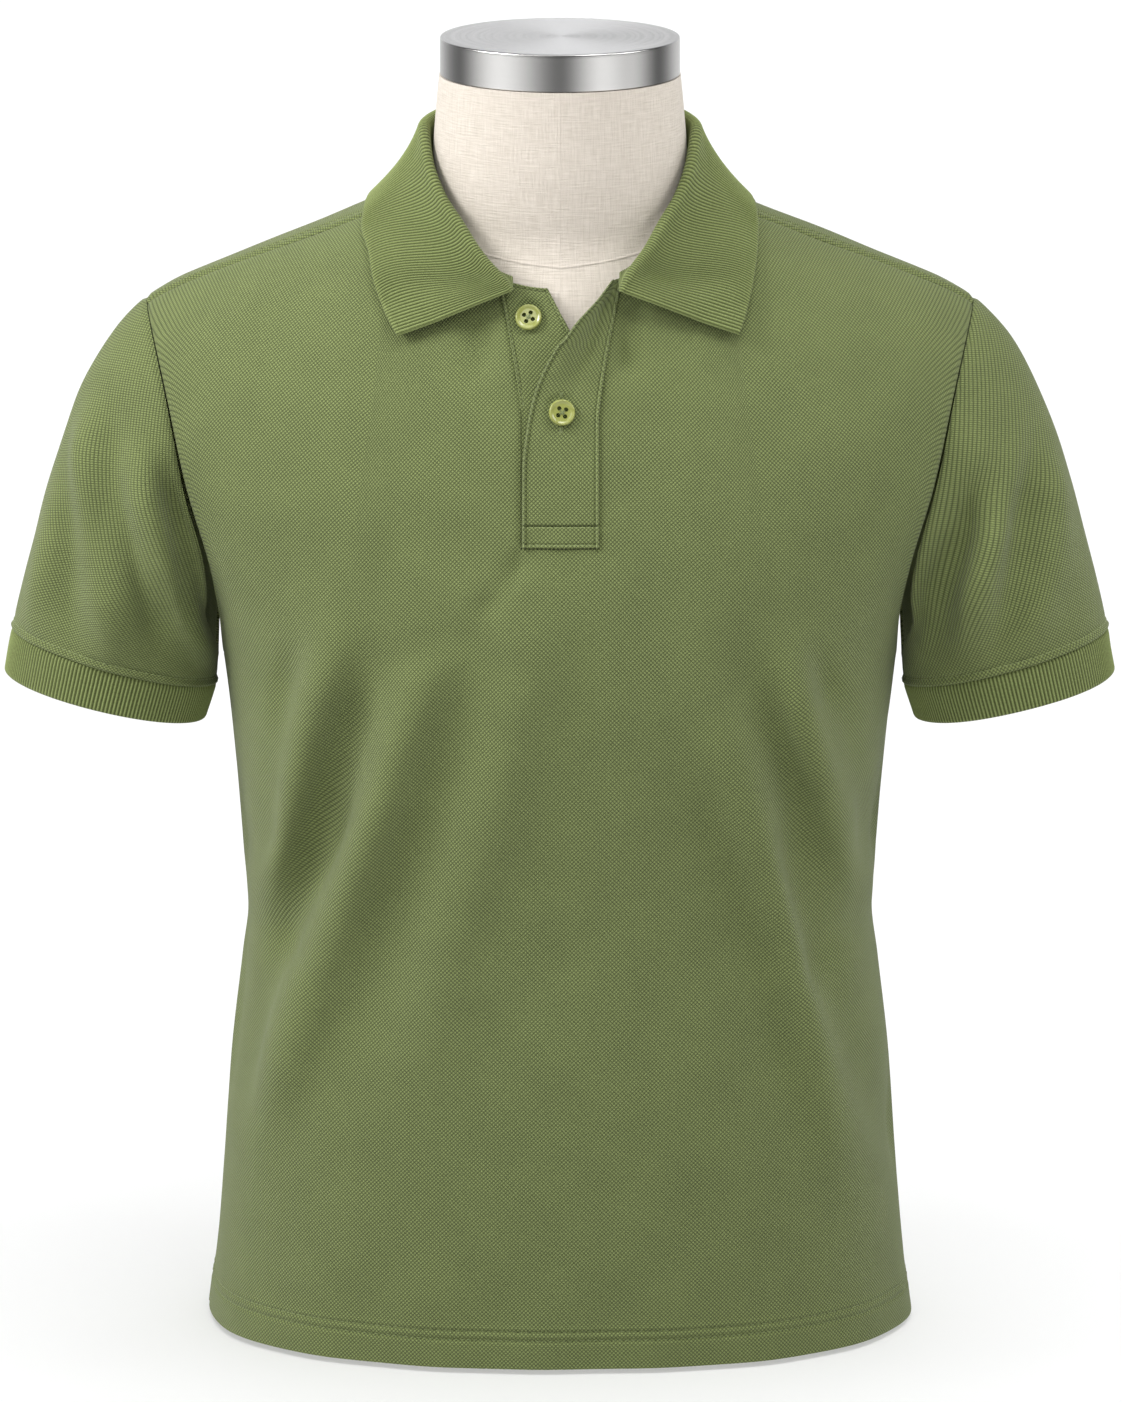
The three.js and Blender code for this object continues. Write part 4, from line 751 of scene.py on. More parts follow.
def stitch_rows(name, rows, stitch=STITCH):
    """Rows of stitches: each row is a path on the cloth's face and its outward directions."""
    sides, shape = 6, ((-0.5, 0.25), (-0.38, 0.8), (0.0, 1.0), (0.38, 0.8), (0.5, 0.25))
    turn = np.arange(sides) / sides * 2 * math.pi
    points, faces, count = [], [], 0
    for path, outward in rows:
        at, along, share = walk(np.asarray(path), stitch["length"] + stitch["gap"])
        which = share * (len(outward) - 1)
        out = between(which, np.arange(len(outward)), np.asarray(outward))
        beside = np.cross(along, out)
        beside /= np.maximum(np.linalg.norm(beside, axis=1, keepdims=True), 1e-9)
        for i in range(len(at)):
            rings = [at[i] + along[i] * stitch["length"] * s + out[i] * (0.08 - 0.35 * abs(s))
                     + (beside[i] * np.cos(turn)[:, None] + out[i] * np.sin(turn)[:, None] * 0.75)
                     * stitch["radius"] * r for s, r in shape]
            points.append(np.concatenate(rings))
            ids = count + np.arange(len(shape) * sides).reshape(len(shape), sides)
            faces.append((grid_faces(ids).reshape(-1, 4)[:, ::-1], ids[0][None], ids[-1][::-1][None]))
            count += len(shape) * sides
    points = np.concatenate(points)
    quads = np.concatenate([f[0] for f in faces])
    caps = np.concatenate([np.concatenate(f[1:]) for f in faces])
    return make_piece(name, points, [quads, caps], thread, "pique")


def row_inside(grid, edge, distance, part=slice(None), reach=None):
    """The path at a distance inside one edge of a grid, with its outward directions."""
    normal = normals_of(grid)
    if edge in ("left", "right"):
        grid, normal = grid.swapaxes(0, 1), normal.swapaxes(0, 1)
    if edge in ("top", "right"):
        grid, normal = grid[::-1], normal[::-1]
    grid, normal = grid[:, part], normal[:, part]
    if reach is None:
        reach = lengths_along(grid, 0)
    columns = range(grid.shape[1])
    path = [between(distance, reach[:, j], grid[:, j]) for j in columns]
    out = [between(distance, reach[:, j], normal[:, j]) for j in columns]
    return np.array(path), np.array(out)


def hem_stitches(name, face, base):
    reach = lengths_along(base, 0)
    return stitch_rows(name, [row_inside(face, "bottom", up, reach=reach) for up in HEM_ROWS])


front_hem = hem_stitches("hem_stitches_front", front_face, front)
back_hem = hem_stitches("hem_stitches_back", back_face, back)
shoulders = (np.flatnonzero(back_cols > 6.3), np.flatnonzero(back_cols < -6.3))
shoulder_rows = [row_inside(back_face, "top", SHOULDER_ROW, columns) for columns in shoulders]
shoulder_stitches = stitch_rows("shoulder_stitches", shoulder_rows)

# Placket
# Two strips of the same pique in a slot in the front, folded over along their long sides. The upper
# one is sewn in at the wearer's left, and both are held at the foot by a box of stitches.

PLACKET_FOOT = 463.5
# z, where the upper strip's free edge is, and how far it stands off the chest
OVER_EDGE = np.array([
    (463, -20.6, 0), (505, -20.4, 0.3), (526, -18, 0.9), (542, -14.5, 2.0), (557, -8, 4.6),
    (578, 6.4, 7), (592, 20, 4.4), (602, 28, 0.4),
], float)
# z, where the lower strip's free edge is, and how far its outer side has come up level
UNDER_EDGE = np.array([
    (463, 20.2, 0), (530, 20.2, 0), (556, 15.5, 1), (579, 4.8, 1), (591, -2.4, 1), (602, -8.5, 1),
], float)


def column(table, k, z):
    return curve_at(table[:, 0], table[:, k], z)


def face_normal(side, x, z):
    across = face_point(side, x + 1, z) - face_point(side, x - 1, z)
    up = face_point(side, x, z + 1) - face_point(side, x, z - 1)
    normal = np.cross(across, up)
    normal *= np.where(normal[..., 1:2] * (-1 if side == "front" else 1) < 0, -1, 1)
    return normal / np.linalg.norm(normal, axis=-1, keepdims=True)


def strip_points(row, t, left, right):
    """Places on the chest across a strip, between its left and right edges."""
    z = mix(PLACKET_FOOT, 600, row)
    for _ in range(8):
        x = mix(left(z), right(z), t)
        z = mix(PLACKET_FOOT, neckline_front(x) - SEAM_GAP / 2, row)
    return x, z


def rounded(distance, size):
    """How full a folded or cut edge is, at a distance from it."""
    inside = 1 - np.clip(distance / size, 0, 1)
    return np.maximum(0.18, np.sqrt(1 - inside ** 2))


# How far up from the foot the box's two rows of stitches are, and the x and z of the two buttons
BOX_ROWS = (2.1, 12.0)
LOWER_BUTTON, UPPER_BUTTON = (0.9, 535.4), (-17.2, 583.6)
PRESSED_ROUND = {"radius": 7.6, "width": 1.5, "depth": 0.7}


def button_dip(x, z, button):
    """The shallow ring that a button presses into the strip under it."""
    p = PRESSED_ROUND
    off = np.hypot(x - button[0], z - button[1])
    return p["depth"] * np.exp(-((off - p["radius"]) / p["width"]) ** 2)


def edge_fold(distance, height):
    """A narrow rounded fold along an edge, with a pressed line of stitches inside it."""
    return height * np.exp(-((distance - 0.8) / 0.6) ** 2) - 0.5 * np.exp(-((distance - 2.1) / 0.5) ** 2)


strip_rows = np.concatenate([
    np.linspace(0, 0.11, 46), np.linspace(0.12, 0.975, 112), np.linspace(0.98, 1, 8),
])
row, t = np.meshgrid(strip_rows, np.unique(np.concatenate([
    np.linspace(0, 0.1, 11), np.linspace(0.12, 0.88, 26), np.linspace(0.9, 1, 11)])), indexing="ij")
x, z = strip_points(row, t, lambda z: column(OVER_EDGE, 1, z), lambda z: placket_half(z) + 0.15)
base = face_point("front", x, z)
normal = face_normal("front", x, z)
height = CLOTH / 2 + column(OVER_EDGE, 2, z) * (1 - smooth((t - 0.1) / 0.52))
over = base + normal * height[..., None]
u, v = lengths_along(over, 1), lengths_along(over, 0)
width = u[:, -1:]
relief_over = 0.25 * unevenness(u, v, 26, 1.1) * smooth(np.minimum(u, width - u) / 6)
relief_over += edge_fold(u, 1.1) + edge_fold(width - u, 0.8) + edge_fold(v, 0.4)
relief_over -= 1.2 * np.exp(-((t - 0.58) / 0.14) ** 2) * smooth((z - 538) / 26) * smooth((600 - z) / 16)
relief_over -= 1.5 * np.exp(-((v - BOX_ROWS[1]) / 0.6) ** 2)
relief_over -= button_dip(x, z, LOWER_BUTTON)
in_slit = np.exp(-((x - LOWER_BUTTON[0]) / 0.5) ** 2) * smooth(10.6 - np.abs(z - LOWER_BUTTON[1]))
relief_over -= 0.6 * in_slit
over_face = over + normal * relief_over[..., None]
full = rounded(u, 0.8)
over_face -= normal * ((1 - full) * CLOTH * 0.5)[..., None]
over_piece = shell("pique_placket_over", over_face, (CLOTH * full)[..., None], pique, "pique", "placket_over",
                   normal, (u + 31, v))

x, z = strip_points(row, t, lambda z: -placket_half(z) - 0.15, lambda z: column(UNDER_EDGE, 1, z))
base = face_point("front", x, z)
normal = face_normal("front", x, z)
level = column(UNDER_EDGE, 2, z) * smooth(1 - t * 1.6)
under = base + normal * mix(CLOTH / 2 - 1.9, 0, level)[..., None]
u, v = lengths_along(under, 1), lengths_along(under, 0)
width = u[:, -1:]
relief_under = 0.2 * unevenness(u, v, 24, 3.0) * smooth(np.minimum(u, width - u) / 6)
relief_under += edge_fold(u, 0.9) * level + edge_fold(width - u, 0.4) + edge_fold(v[-1:] - v, 0.7)
relief_under -= button_dip(x, z, UPPER_BUTTON)
full = rounded(width - u, 1.4)
under_face = under + normal * (relief_under - (1 - full) * CLOTH * 0.5)[..., None]
under_piece = shell("pique_placket_under", under_face, (CLOTH * full)[..., None], pique, "pique",
                    "placket_under", normal, (u + 11, v))


EDGE_ROW = BOX_ROWS[0]
over_rows = [row_inside(over_face, "left", EDGE_ROW), row_inside(over_face, "right", EDGE_ROW)]
over_rows += [row_inside(over_face, "bottom", up, slice(7, -7)) for up in BOX_ROWS]
over_stitches = stitch_rows("placket_stitches_over", over_rows)
under_rows = [row_inside(under_face, "right", EDGE_ROW)]
under_rows += [row_inside(under_face, "top", EDGE_ROW, slice(5, -8))]
under_rows += [row_inside(under_face, "left", EDGE_ROW, slice(101, None))]
under_stitches = stitch_rows("placket_stitches_under", under_rows)


def nearest(grid, x, z):
    """Row and column of the point of a grid nearest to a place seen from the front."""
    off = np.hypot(grid[..., 0] - x, grid[..., 2] - z)
    return np.unravel_index(off.argmin(), off.shape)


def on_cloth(grid, x, z):
    """The point of a grid's face at a place seen from the front, and its outward direction."""
    i, j = nearest(grid, x, z)
    normal, near = normals_of(grid)[i, j], grid[i, j]
    y = near[1] - (normal[0] * (x - near[0]) + normal[2] * (z - near[2])) / normal[1]
    return np.array([x, y, z]), normal


def bar(x0, z0, x1, z1):
    """One straight stitch's path on the upper strip."""
    ends = [on_cloth(over_face, x0, z0), on_cloth(over_face, x1, z1)]
    return np.array([end[0] for end in ends]), np.array([end[1] for end in ends])


hole_x, hole_z = LOWER_BUTTON
SLIT_FOOT, SLIT_HEAD, SLIT_SIDE, BAR_STEP = (-10.6, -7.4), (8.0, 10.4), (7.6, 10.6), 0.55
bars = []
for (low, high), half in ((SLIT_FOOT, 1.5), (SLIT_HEAD, 1.3)):
    for up in np.arange(low, high, BAR_STEP):
        bars.append(bar(hole_x - half, hole_z + up, hole_x + half, hole_z + up))
near, far = SLIT_SIDE
bars += [bar(hole_x + near, hole_z + up, hole_x + far, hole_z + up) for up in (-0.3, 0.3)]
bars += [bar(hole_x + 10.9, hole_z - 1.2, hole_x + 10.9, hole_z + 1.2)]
BAR_STITCH = {"length": 2.2, "gap": 0.2, "radius": 0.24}
buttonhole = stitch_rows("buttonhole_stitches", bars, BAR_STITCH)

# Sleeves
# One piece of pique each, sewn into the armhole and closed by a seam under the arm. They hang
# empty, and soft folds run down from the shoulder and the armpit.

SLEEVE_END = {"x": 246.9, "z": 379, "half": 58.8, "depth": 48, "tilt": 15.5}
CUFF_TOP = {"x": 247, "z": 378.5, "half": 58.6, "depth": 47.8, "tilt": 15.5}
CUFF_BOTTOM = {"x": 252.65, "z": 356, "half": 57, "depth": 46.5, "tilt": 13.6}
SLEEVE_Y = -2
# place round the armhole, direction in which the sleeve leaves it, and how stiffly it leaves and ends
SLEEVE_RISE = np.array([
    (0, 0.8, 0, -0.6, 0.25, 0.43), (0.25, 0.52, -0.24, -0.83, 0.33, 0.36), (0.5, 0.35, 0, -0.93, 0.3, 0.3),
    (0.75, 0.52, 0.24, -0.83, 0.33, 0.36), (1, 0.8, 0, -0.6, 0.25, 0.43),
], float)
# Folds down a sleeve: place round the armhole, place round the cuff, from, to, width, height
SLEEVE_FOLDS = [
    (0.13, 0.17, 0.2, 0.92, 0.035, -3), (0.19, 0.28, 0.1, 0.95, 0.035, 3.6),
    (0.27, 0.37, 0.05, 0.9, 0.04, -4.6),
    (0.76, 0.67, 0.1, 0.9, 0.045, -4), (0.85, 0.78, 0.2, 0.9, 0.04, 3),
]
# Creases of the cloth alone, as on the panels, with x away from the middle of the body
SLEEVE_CREASES = {
    "right": {"front": [(261, 530, 249, 385, 8, 8), (277, 520, 291, 395, 6, 5), (240, 500, 192, 384, 9, 9),
                        (218, 496, 184, 384, 6.5, -9), (247, 520, 222, 384, 6, -5),
                        (271, 525, 268, 388, 5, -3)],
              "back": [(262, 520, 240, 385, 10, 5), (232, 490, 196, 384, 8, 6), (218, 480, 190, 384, 6, -5)]},
    "left": {"front": [(230, 492, 191, 384, 8, -9.5), (255, 510, 220, 388, 7, 7), (264, 522, 239, 390, 6, -5),
                       (278, 500, 258, 390, 8, 5.5)],
             "back": [(258, 526, 236, 385, 10, 5), (230, 494, 194, 384, 8, 6), (216, 482, 190, 384, 6, -5)]},
}


def oval_point(oval, place):
    across = oval["half"] * np.cos(2 * math.pi * place)
    tilt = math.radians(oval["tilt"])
    y = SLEEVE_Y - oval["depth"] * np.sin(2 * math.pi * place)
    return np.stack([oval["x"] + across * math.cos(tilt), y, oval["z"] + across * math.sin(tilt)], axis=-1)


def wave_down(folds, place, down):
    """Height of the folds that run down a sleeve."""
    total = np.zeros(np.shape(place))
    for above, below, start, end, width, height in folds:
        along = np.clip((down - start) / (end - start), 0, 1)
        off = (place - mix(above, below, down) + 0.5) % 1 - 0.5
        total += height * np.sin(along * math.pi) * np.exp(-(off ** 2) / (2 * width ** 2))
    return total


def unit(v):
    return v / np.maximum(np.linalg.norm(v, axis=-1, keepdims=True), 1e-9)


def bezier(p, q, r, s, t):
    """The place at t from 0 to 1 on a curve from p to s that leaves towards q and arrives from r."""
    return (1 - t) ** 3 * p + 3 * (1 - t) ** 2 * t * q + 3 * (1 - t) * t * t * r + t ** 3 * s


arm_row = len(low_rows)
rim = np.concatenate([front[arm_row:, -1], back[-2:arm_row:-1, 0]])
rim_out = np.concatenate([normals_of(front)[arm_row:, -1], normals_of(back)[-2:arm_row:-1, 0]])
rim[0, 1] = 0
step = np.linalg.norm(np.diff(rim, axis=0), axis=1)
reach = np.concatenate([[0], np.cumsum(step)])
total = reach[-1] + np.linalg.norm(rim[0] - rim[-1])
peak = int(rim[:, 2].argmax())
place = np.where(np.arange(len(rim)) <= peak, 0.5 - 0.5 * reach / reach[peak],
                 1 - 0.5 * (reach - reach[peak]) / (total - reach[peak]))
underarm = np.maximum(0, -np.cos(2 * math.pi * place)) ** 2
along_rim = unit(np.roll(rim, -1, axis=0) - np.roll(rim, 1, axis=0))
away = unit(unit(np.cross(along_rim, rim_out)) + rim_out * underarm[:, None])
start = rim + away * (SEAM_GAP * mix(1.3, 4, underarm))[:, None]
end = oval_point(SLEEVE_END, place)
axis = unit(oval_point(CUFF_BOTTOM, 0.0) + oval_point(CUFF_BOTTOM, 0.5)
            - oval_point(SLEEVE_END, 0.0) - oval_point(SLEEVE_END, 0.5))
span = np.linalg.norm(end - start, axis=1)[:, None]
rise = unit(np.stack([column(SLEEVE_RISE, k, place) for k in (1, 2, 3)], axis=-1))
leave = start + rise * span * column(SLEEVE_RISE, 4, place)[:, None]
arrive = end - axis * span * column(SLEEVE_RISE, 5, place)[:, None]
t = np.unique(np.concatenate([
    [0, 0.005, 0.012, 0.022], np.linspace(0.035, 0.97, 76), [0.982, 0.99, 0.996, 1],
]))
b = t[:, None, None]
plain = bezier(end, arrive, leave, start, b)
place_grid = np.broadcast_to(place, plain.shape[:2])
down = np.broadcast_to(1 - t[:, None], plain.shape[:2])
sleeve_base = plain + normals_of(plain, True) * wave_down(SLEEVE_FOLDS, place_grid, down)[..., None]
sleeve_normal = normals_of(sleeve_base, True)


def wrap(grid):
    """A round grid with its first column again at the end, where its seam is."""
    return np.concatenate([grid, grid[:, :1]], axis=1)


def on_side(side, face, normal, u):
    """A left-hand piece as it is, or mirrored to the right, with its columns still to the right."""
    if side == "left":
        return face, normal, u
    return face[:, ::-1] * (-1, 1, 1), normal[:, ::-1] * (-1, 1, 1), u[:, ::-1]


# The sleeve's end is turned up, and stitched this far above its edge
LIP = 4.6
for side in ("left", "right"):
    grid, normal = wrap(sleeve_base), wrap(sleeve_normal)
    u, v = lengths_along(grid, 1), lengths_along(grid, 0)
    to_top = v[-1:] - v
    from_middle = (grid[..., 1] - SLEEVE_Y) / 30
    lift = sum(fold_height(SLEEVE_CREASES[side][half], grid[..., 0], grid[..., 2], 0.5) * smooth(ahead)
               for half, ahead in (("front", -from_middle), ("back", from_middle)))
    phase = 0.9 if side == "left" else 3.3
    lift = lift + 0.5 * unevenness(u, v, 58, phase) * smooth(to_top / 30) * smooth(v / 20)
    lift = lift + seam_roll(to_top, 1.0, 1.7) + 1.0 * np.exp(-((v - 1.5) / 1.2) ** 2)
    lift = lift - 0.9 * np.exp(-((v - LIP) / 0.8) ** 2)
    lift = lift + seam_roll(np.minimum(u, u[:, -1:] - u), 0.7, 1.3)
    lift = lift + 0.12 * unevenness(u, v * 0.2, 11, 2.0) * np.exp(-to_top / 9)
    face = grid + normal * lift[..., None]
    face, normal, u = on_side(side, face, normal, u)
    name = "sleeve_" + side
    sleeve = shell("pique_" + name, face, CLOTH, pique, "pique", name, normal, (u, v))
    end_stitches = stitch_rows("sleeve_stitches_" + side, [row_inside(face, "bottom", LIP)])

# Cuffs
# A band of knitted rib sewn round the end of each sleeve, in fine ribs that run with the arm.

RIB = 2.0
RIB_PITCH = 2.1
rib_knit, tree, shader = new_material("cotton rib", PIQUE_LIGHT, 0.9, sheen=0.1)
knit_place, parts = cloth_place(tree)
# Each rib is lighter on its crest and darker in the groove beside it, painted shade in the grooves, mixed
# with the knit's own random tone
painted_rib_shade = times(tree, calc(tree, "COSINE", times(tree, parts["X"], 2 * math.pi)), 0.5)
loops = calc(tree, "ABSOLUTE", calc(tree, "SINE", times(tree, parts["Y"], math.pi / 1.1)))
fibre = noise(tree, stretch(tree, knit_place, (3.0, 0.9, 1)), 1.0, 4)
cloud = noise(tree, knit_place, 0.05, 3)
yarn_tone_and_hollow_shade = plus(tree, times(tree, painted_rib_shade, 0.85), times(tree, fibre, 0.75))
yarn_tone_and_hollow_shade = plus(tree, yarn_tone_and_hollow_shade, times(tree, minus(tree, cloud, 0.4), 0.15))
tree.links.new(tint(tree, yarn_tone_and_hollow_shade, (0.055, 0.072, 0.012), (0.265, 0.320, 0.110)), shader.inputs["Base Color"])
bumps = relief(tree, loops, 0.1)
tree.links.new(relief(tree, fibre, 0.12, bumps), shader.inputs["Normal"])

CUFF_RIBS, POINTS_A_RIB = 168, 5
place = 0.5 - np.linspace(0, 1, CUFF_RIBS * POINTS_A_RIB, endpoint=False)
t = np.unique(np.concatenate([[0, 0.02, 0.05, 0.09], np.linspace(0.15, 0.85, 8), [0.93, 0.97, 1]]))
ovals = [{key: mix(CUFF_BOTTOM[key], CUFF_TOP[key], up) for key in CUFF_TOP} for up in t]
cuff_base = np.array([oval_point(oval, place) for oval in ovals])
cuff_normal = normals_of(cuff_base, True)
for side in ("left", "right"):
    grid, normal = wrap(cuff_base), wrap(cuff_normal)
    v = lengths_along(grid, 0)
    to_top = v[-1:] - v
    rib_at = np.broadcast_to(np.arange(grid.shape[1]) / POINTS_A_RIB, v.shape)
    bulge = 0.32 * np.cos(2 * math.pi * rib_at) * smooth(v / 2) + seam_roll(to_top, 0.7, 1.4)
    phase = 1.5 if side == "left" else 4.0
    bulge = bulge + 0.5 * unevenness(rib_at * RIB_PITCH, v, 70, phase) * smooth(to_top / 12)
    full = rounded(v, 1.3)
    face = grid + normal * (bulge - (1 - full) * RIB * 0.5)[..., None]
    face, normal, rib_at = on_side(side, face, normal, rib_at)
    name = "cuff_" + side
    cuff = shell("rib_" + name, face, (RIB * full)[..., None], rib_knit, "rib", name, normal, (rib_at, v))

# Collar
# One straight band of rib, sewn to the neckline. It stands up round the neck, rolls over and lies
# down on the shoulders, and its front ends fall open.

COLLAR_END_X = {"left": 33.4, "right": 26.4}
# place from the front end (0) to the middle of the back (1), the roll's x, y, z and the edge's x, y, z
COLLAR_ROWS = {
    "left": [(0, 33.4, -84.5, 597.6, 96.3, -76, 571.8), (0.08, 39.5, -77, 607, 101.3, -68, 584.5),
             (0.2, 49, -66, 618, 105.3, -56, 600), (0.3, 57, -54, 630, 107.4, -44, 611.5)],
    "right": [(0, 26.4, -86, 598.4, 87.3, -78, 571.4), (0.08, 33.5, -80, 605, 94.5, -70, 583),
              (0.2, 45.5, -69, 616.5, 101.6, -58, 600), (0.3, 55.5, -56, 629.5, 104.5, -44, 613)],
    "both": [(0.4, 65.5, -40.5, 643, 108.4, -27, 623), (0.5, 72.3, -20.6, 659, 107.4, -10, 631),
             (0.6, 74.6, 4, 672, 104, 14, 634), (0.72, 66, 34.4, 675, 93, 42, 630),
             (0.86, 38, 62.5, 677, 55, 72, 627), (1, 0, 70.5, 678, 0, 80, 627)],
}
FOLD_RADIUS = 2.4
COLLAR_CLEARANCE = 2.3
END_LIFT = 3.6


def neck_seam(end_x, at):
    back_x, angle = neckline_back(np.clip((at - 0.4) / 0.6, 0, 1))
    behind = arch_point("back", back_x, angle)
    x = mix(end_x, NECK_X, np.minimum(at / 0.4, 1))
    ahead = arch_point("front", x, angle_at_height("front", x, neckline_front(x)))
    return np.where((at > 0.4)[..., None], behind, ahead)


def face_below(p):
    """The shirt's outward direction under each point, and how far off its face the point is."""
    found, off = np.zeros(p.shape), np.zeros(p.shape[:-1])
    for side in ("front", "back"):
        x = p[..., 0]
        most = depth_at(BODY_SECTIONS, shoulder_top, side, x, ARMPIT_Z + 0 * x)
        angle = angle_at_depth(side, x, np.minimum(np.abs(p[..., 1]), most))
        on = arch_point(side, x, angle)
        across = arch_point(side, x + 2, angle) - arch_point(side, x - 2, angle)
        normal = unit(np.cross(across, arch_point(side, x, angle + 0.02) - arch_point(side, x, angle - 0.02)))
        normal *= np.where(normal[..., 2:] < 0, -1, 1)
        mine = (p[..., 1] < 0) == (side == "front")
        found[mine] = normal[mine]
        off[mine] = ((p - on) * normal).sum(axis=-1)[mine]
    return found, off


def collar_half(side, at):
    """Rows of points up the stand, over the roll and down the leaf, for one half of the collar."""
    rows = np.array(COLLAR_ROWS[side] + COLLAR_ROWS["both"], float)

    def place_of(first, where):
        return np.stack([column(rows, first + k, where) for k in range(3)], axis=-1)

    roll, edge = place_of(1, at), place_of(4, at)
    ahead = place_of(1, np.minimum(1, at + 0.02)) - place_of(1, np.maximum(0, at - 0.02))
    ahead[at >= 1] = (-1, 0, 0)
    ahead = unit(ahead)
    out = edge - roll
    out = out - (out * ahead).sum(-1, keepdims=True) * ahead
    flat = unit(out * (1, 1, 0.35))
    out = unit(flat - (flat * ahead).sum(-1, keepdims=True) * ahead)
    up = unit(np.cross(ahead, out))
    # This test holds only ahead of the neck. At the centre back it turns the fold over, with a step
    up *= np.where(up[:, 2:] - up[:, 1:2] < 0, -1, 1)

    def around(degrees):
        a = math.radians(degrees)
        radius = (FOLD_RADIUS - 1.1 * smooth(1 - at / 0.08))[:, None]
        return roll + out * radius * math.cos(a) + up * radius * math.sin(a)

    end_x = COLLAR_END_X[side]
    seam = neck_seam(end_x, at)
    normal, _ = face_below(seam)
    along = neck_seam(end_x, np.minimum(1, at + 0.01)) - neck_seam(end_x, np.maximum(0, at - 0.01))
    inward = unit(np.cross(normal, along))
    inward *= np.where((inward * -seam * (1, 1, 0)).sum(-1, keepdims=True) < 0, -1, 1)
    start = seam - normal * CLOTH / 2 + inward * 2.4
    top, leaf_start = around(180), around(45)
    length = np.linalg.norm(leaf_start - edge, axis=-1, keepdims=True)
    at_end = smooth(1 - at / 0.16)[:, None]
    chord = edge - leaf_start
    lifted = np.array([0, -0.8, 0.25])
    first = mix(leaf_start + unit(out - up) * length * 0.3, leaf_start + chord * 0.33 + lifted * 3, at_end)
    second = mix(edge - (out * 0.9 - up * 0.3) * length * 0.35,
                 leaf_start + chord * 0.67 + lifted * 3, at_end)
    lines = [mix(start, top, s) for s in np.linspace(0, 1, 10, endpoint=False)]
    lines += [around(a) for a in np.linspace(180, 45, 9)]
    for s in np.concatenate([np.linspace(0, 0.94, 23)[1:], [0.96, 0.975, 0.986, 0.994, 1]]):
        leaf = bezier(leaf_start, first, second, edge, s)
        normal, off = face_below(leaf)
        clear = COLLAR_CLEARANCE + END_LIFT * at_end[:, 0] * smooth(s * 1.6)
        lines.append(leaf + normal * np.maximum(0, clear - off)[:, None])
    return np.array(lines)


COLLAR_RIBS, POINTS_A_RIB = 106, 4
at = np.linspace(0, 1, COLLAR_RIBS * POINTS_A_RIB + 1)
right = collar_half("right", at) * (-1, 1, 1)
left = collar_half("left", at)[:, ::-1]
middle = np.concatenate([right, left[:, 1:]], axis=1)
normal = normals_of(middle)
v = lengths_along(middle, 0)
rib_at = np.broadcast_to(np.arange(middle.shape[1]) / POINTS_A_RIB, v.shape)
to_edge = v[-1:] - v
ends = lengths_along(middle, 1)
to_end = np.minimum(ends, ends[:, -1:] - ends)
full = rounded(to_edge, 1.3) * rounded(to_end, 1.0)
wave = 0.35 * unevenness(rib_at * RIB_PITCH, v, 64, 0.6) * smooth(to_end / 12)
rib_height = 0.3 * np.cos(2 * math.pi * rib_at) * smooth(to_edge / 2.5) * smooth(to_end / 2)
half = RIB / 2 * full + rib_height
face = middle + normal * (half + wave)[..., None]
collar = shell("rib_collar", face, (2 * half)[..., None], rib_knit, "rib", "collar", normal, (rib_at, v))

# Buttons
# Two turned buttons of cast resin, with a rim, a dished face and four holes, held by crossed
# thread. The lower one goes through a buttonhole in the upper strip.

BUTTON = {"radius": 7.2, "thickness": 2.9, "hole": 1.2, "spread": 1.88, "off": 0.45}
THREAD = {"sides": 6, "radius": 0.18, "beside": 0.32, "depth": 1.5, "arch": 1.15}
resin, tree, shader = new_material("button resin", (0.33, 0.39, 0.09), 0.24)
shader.inputs["Coat Weight"].default_value = 0.5
shader.inputs["Coat Roughness"].default_value = 0.08
cast = noise(tree, object_place(tree), 260, 4)
tree.links.new(tint(tree, cast, (0.22, 0.24, 0.052), (0.35, 0.375, 0.10)), shader.inputs["Base Color"])


def seat(points, centre, outward, down):
    """Points drawn on their back, with +Z out and -Y down, put in place on the cloth."""
    z = unit(np.asarray(outward, float))
    y = unit(-np.asarray(down, float) + (np.asarray(down, float) * z).sum() * z)
    return centre + points @ np.stack([np.cross(y, z), y, z])


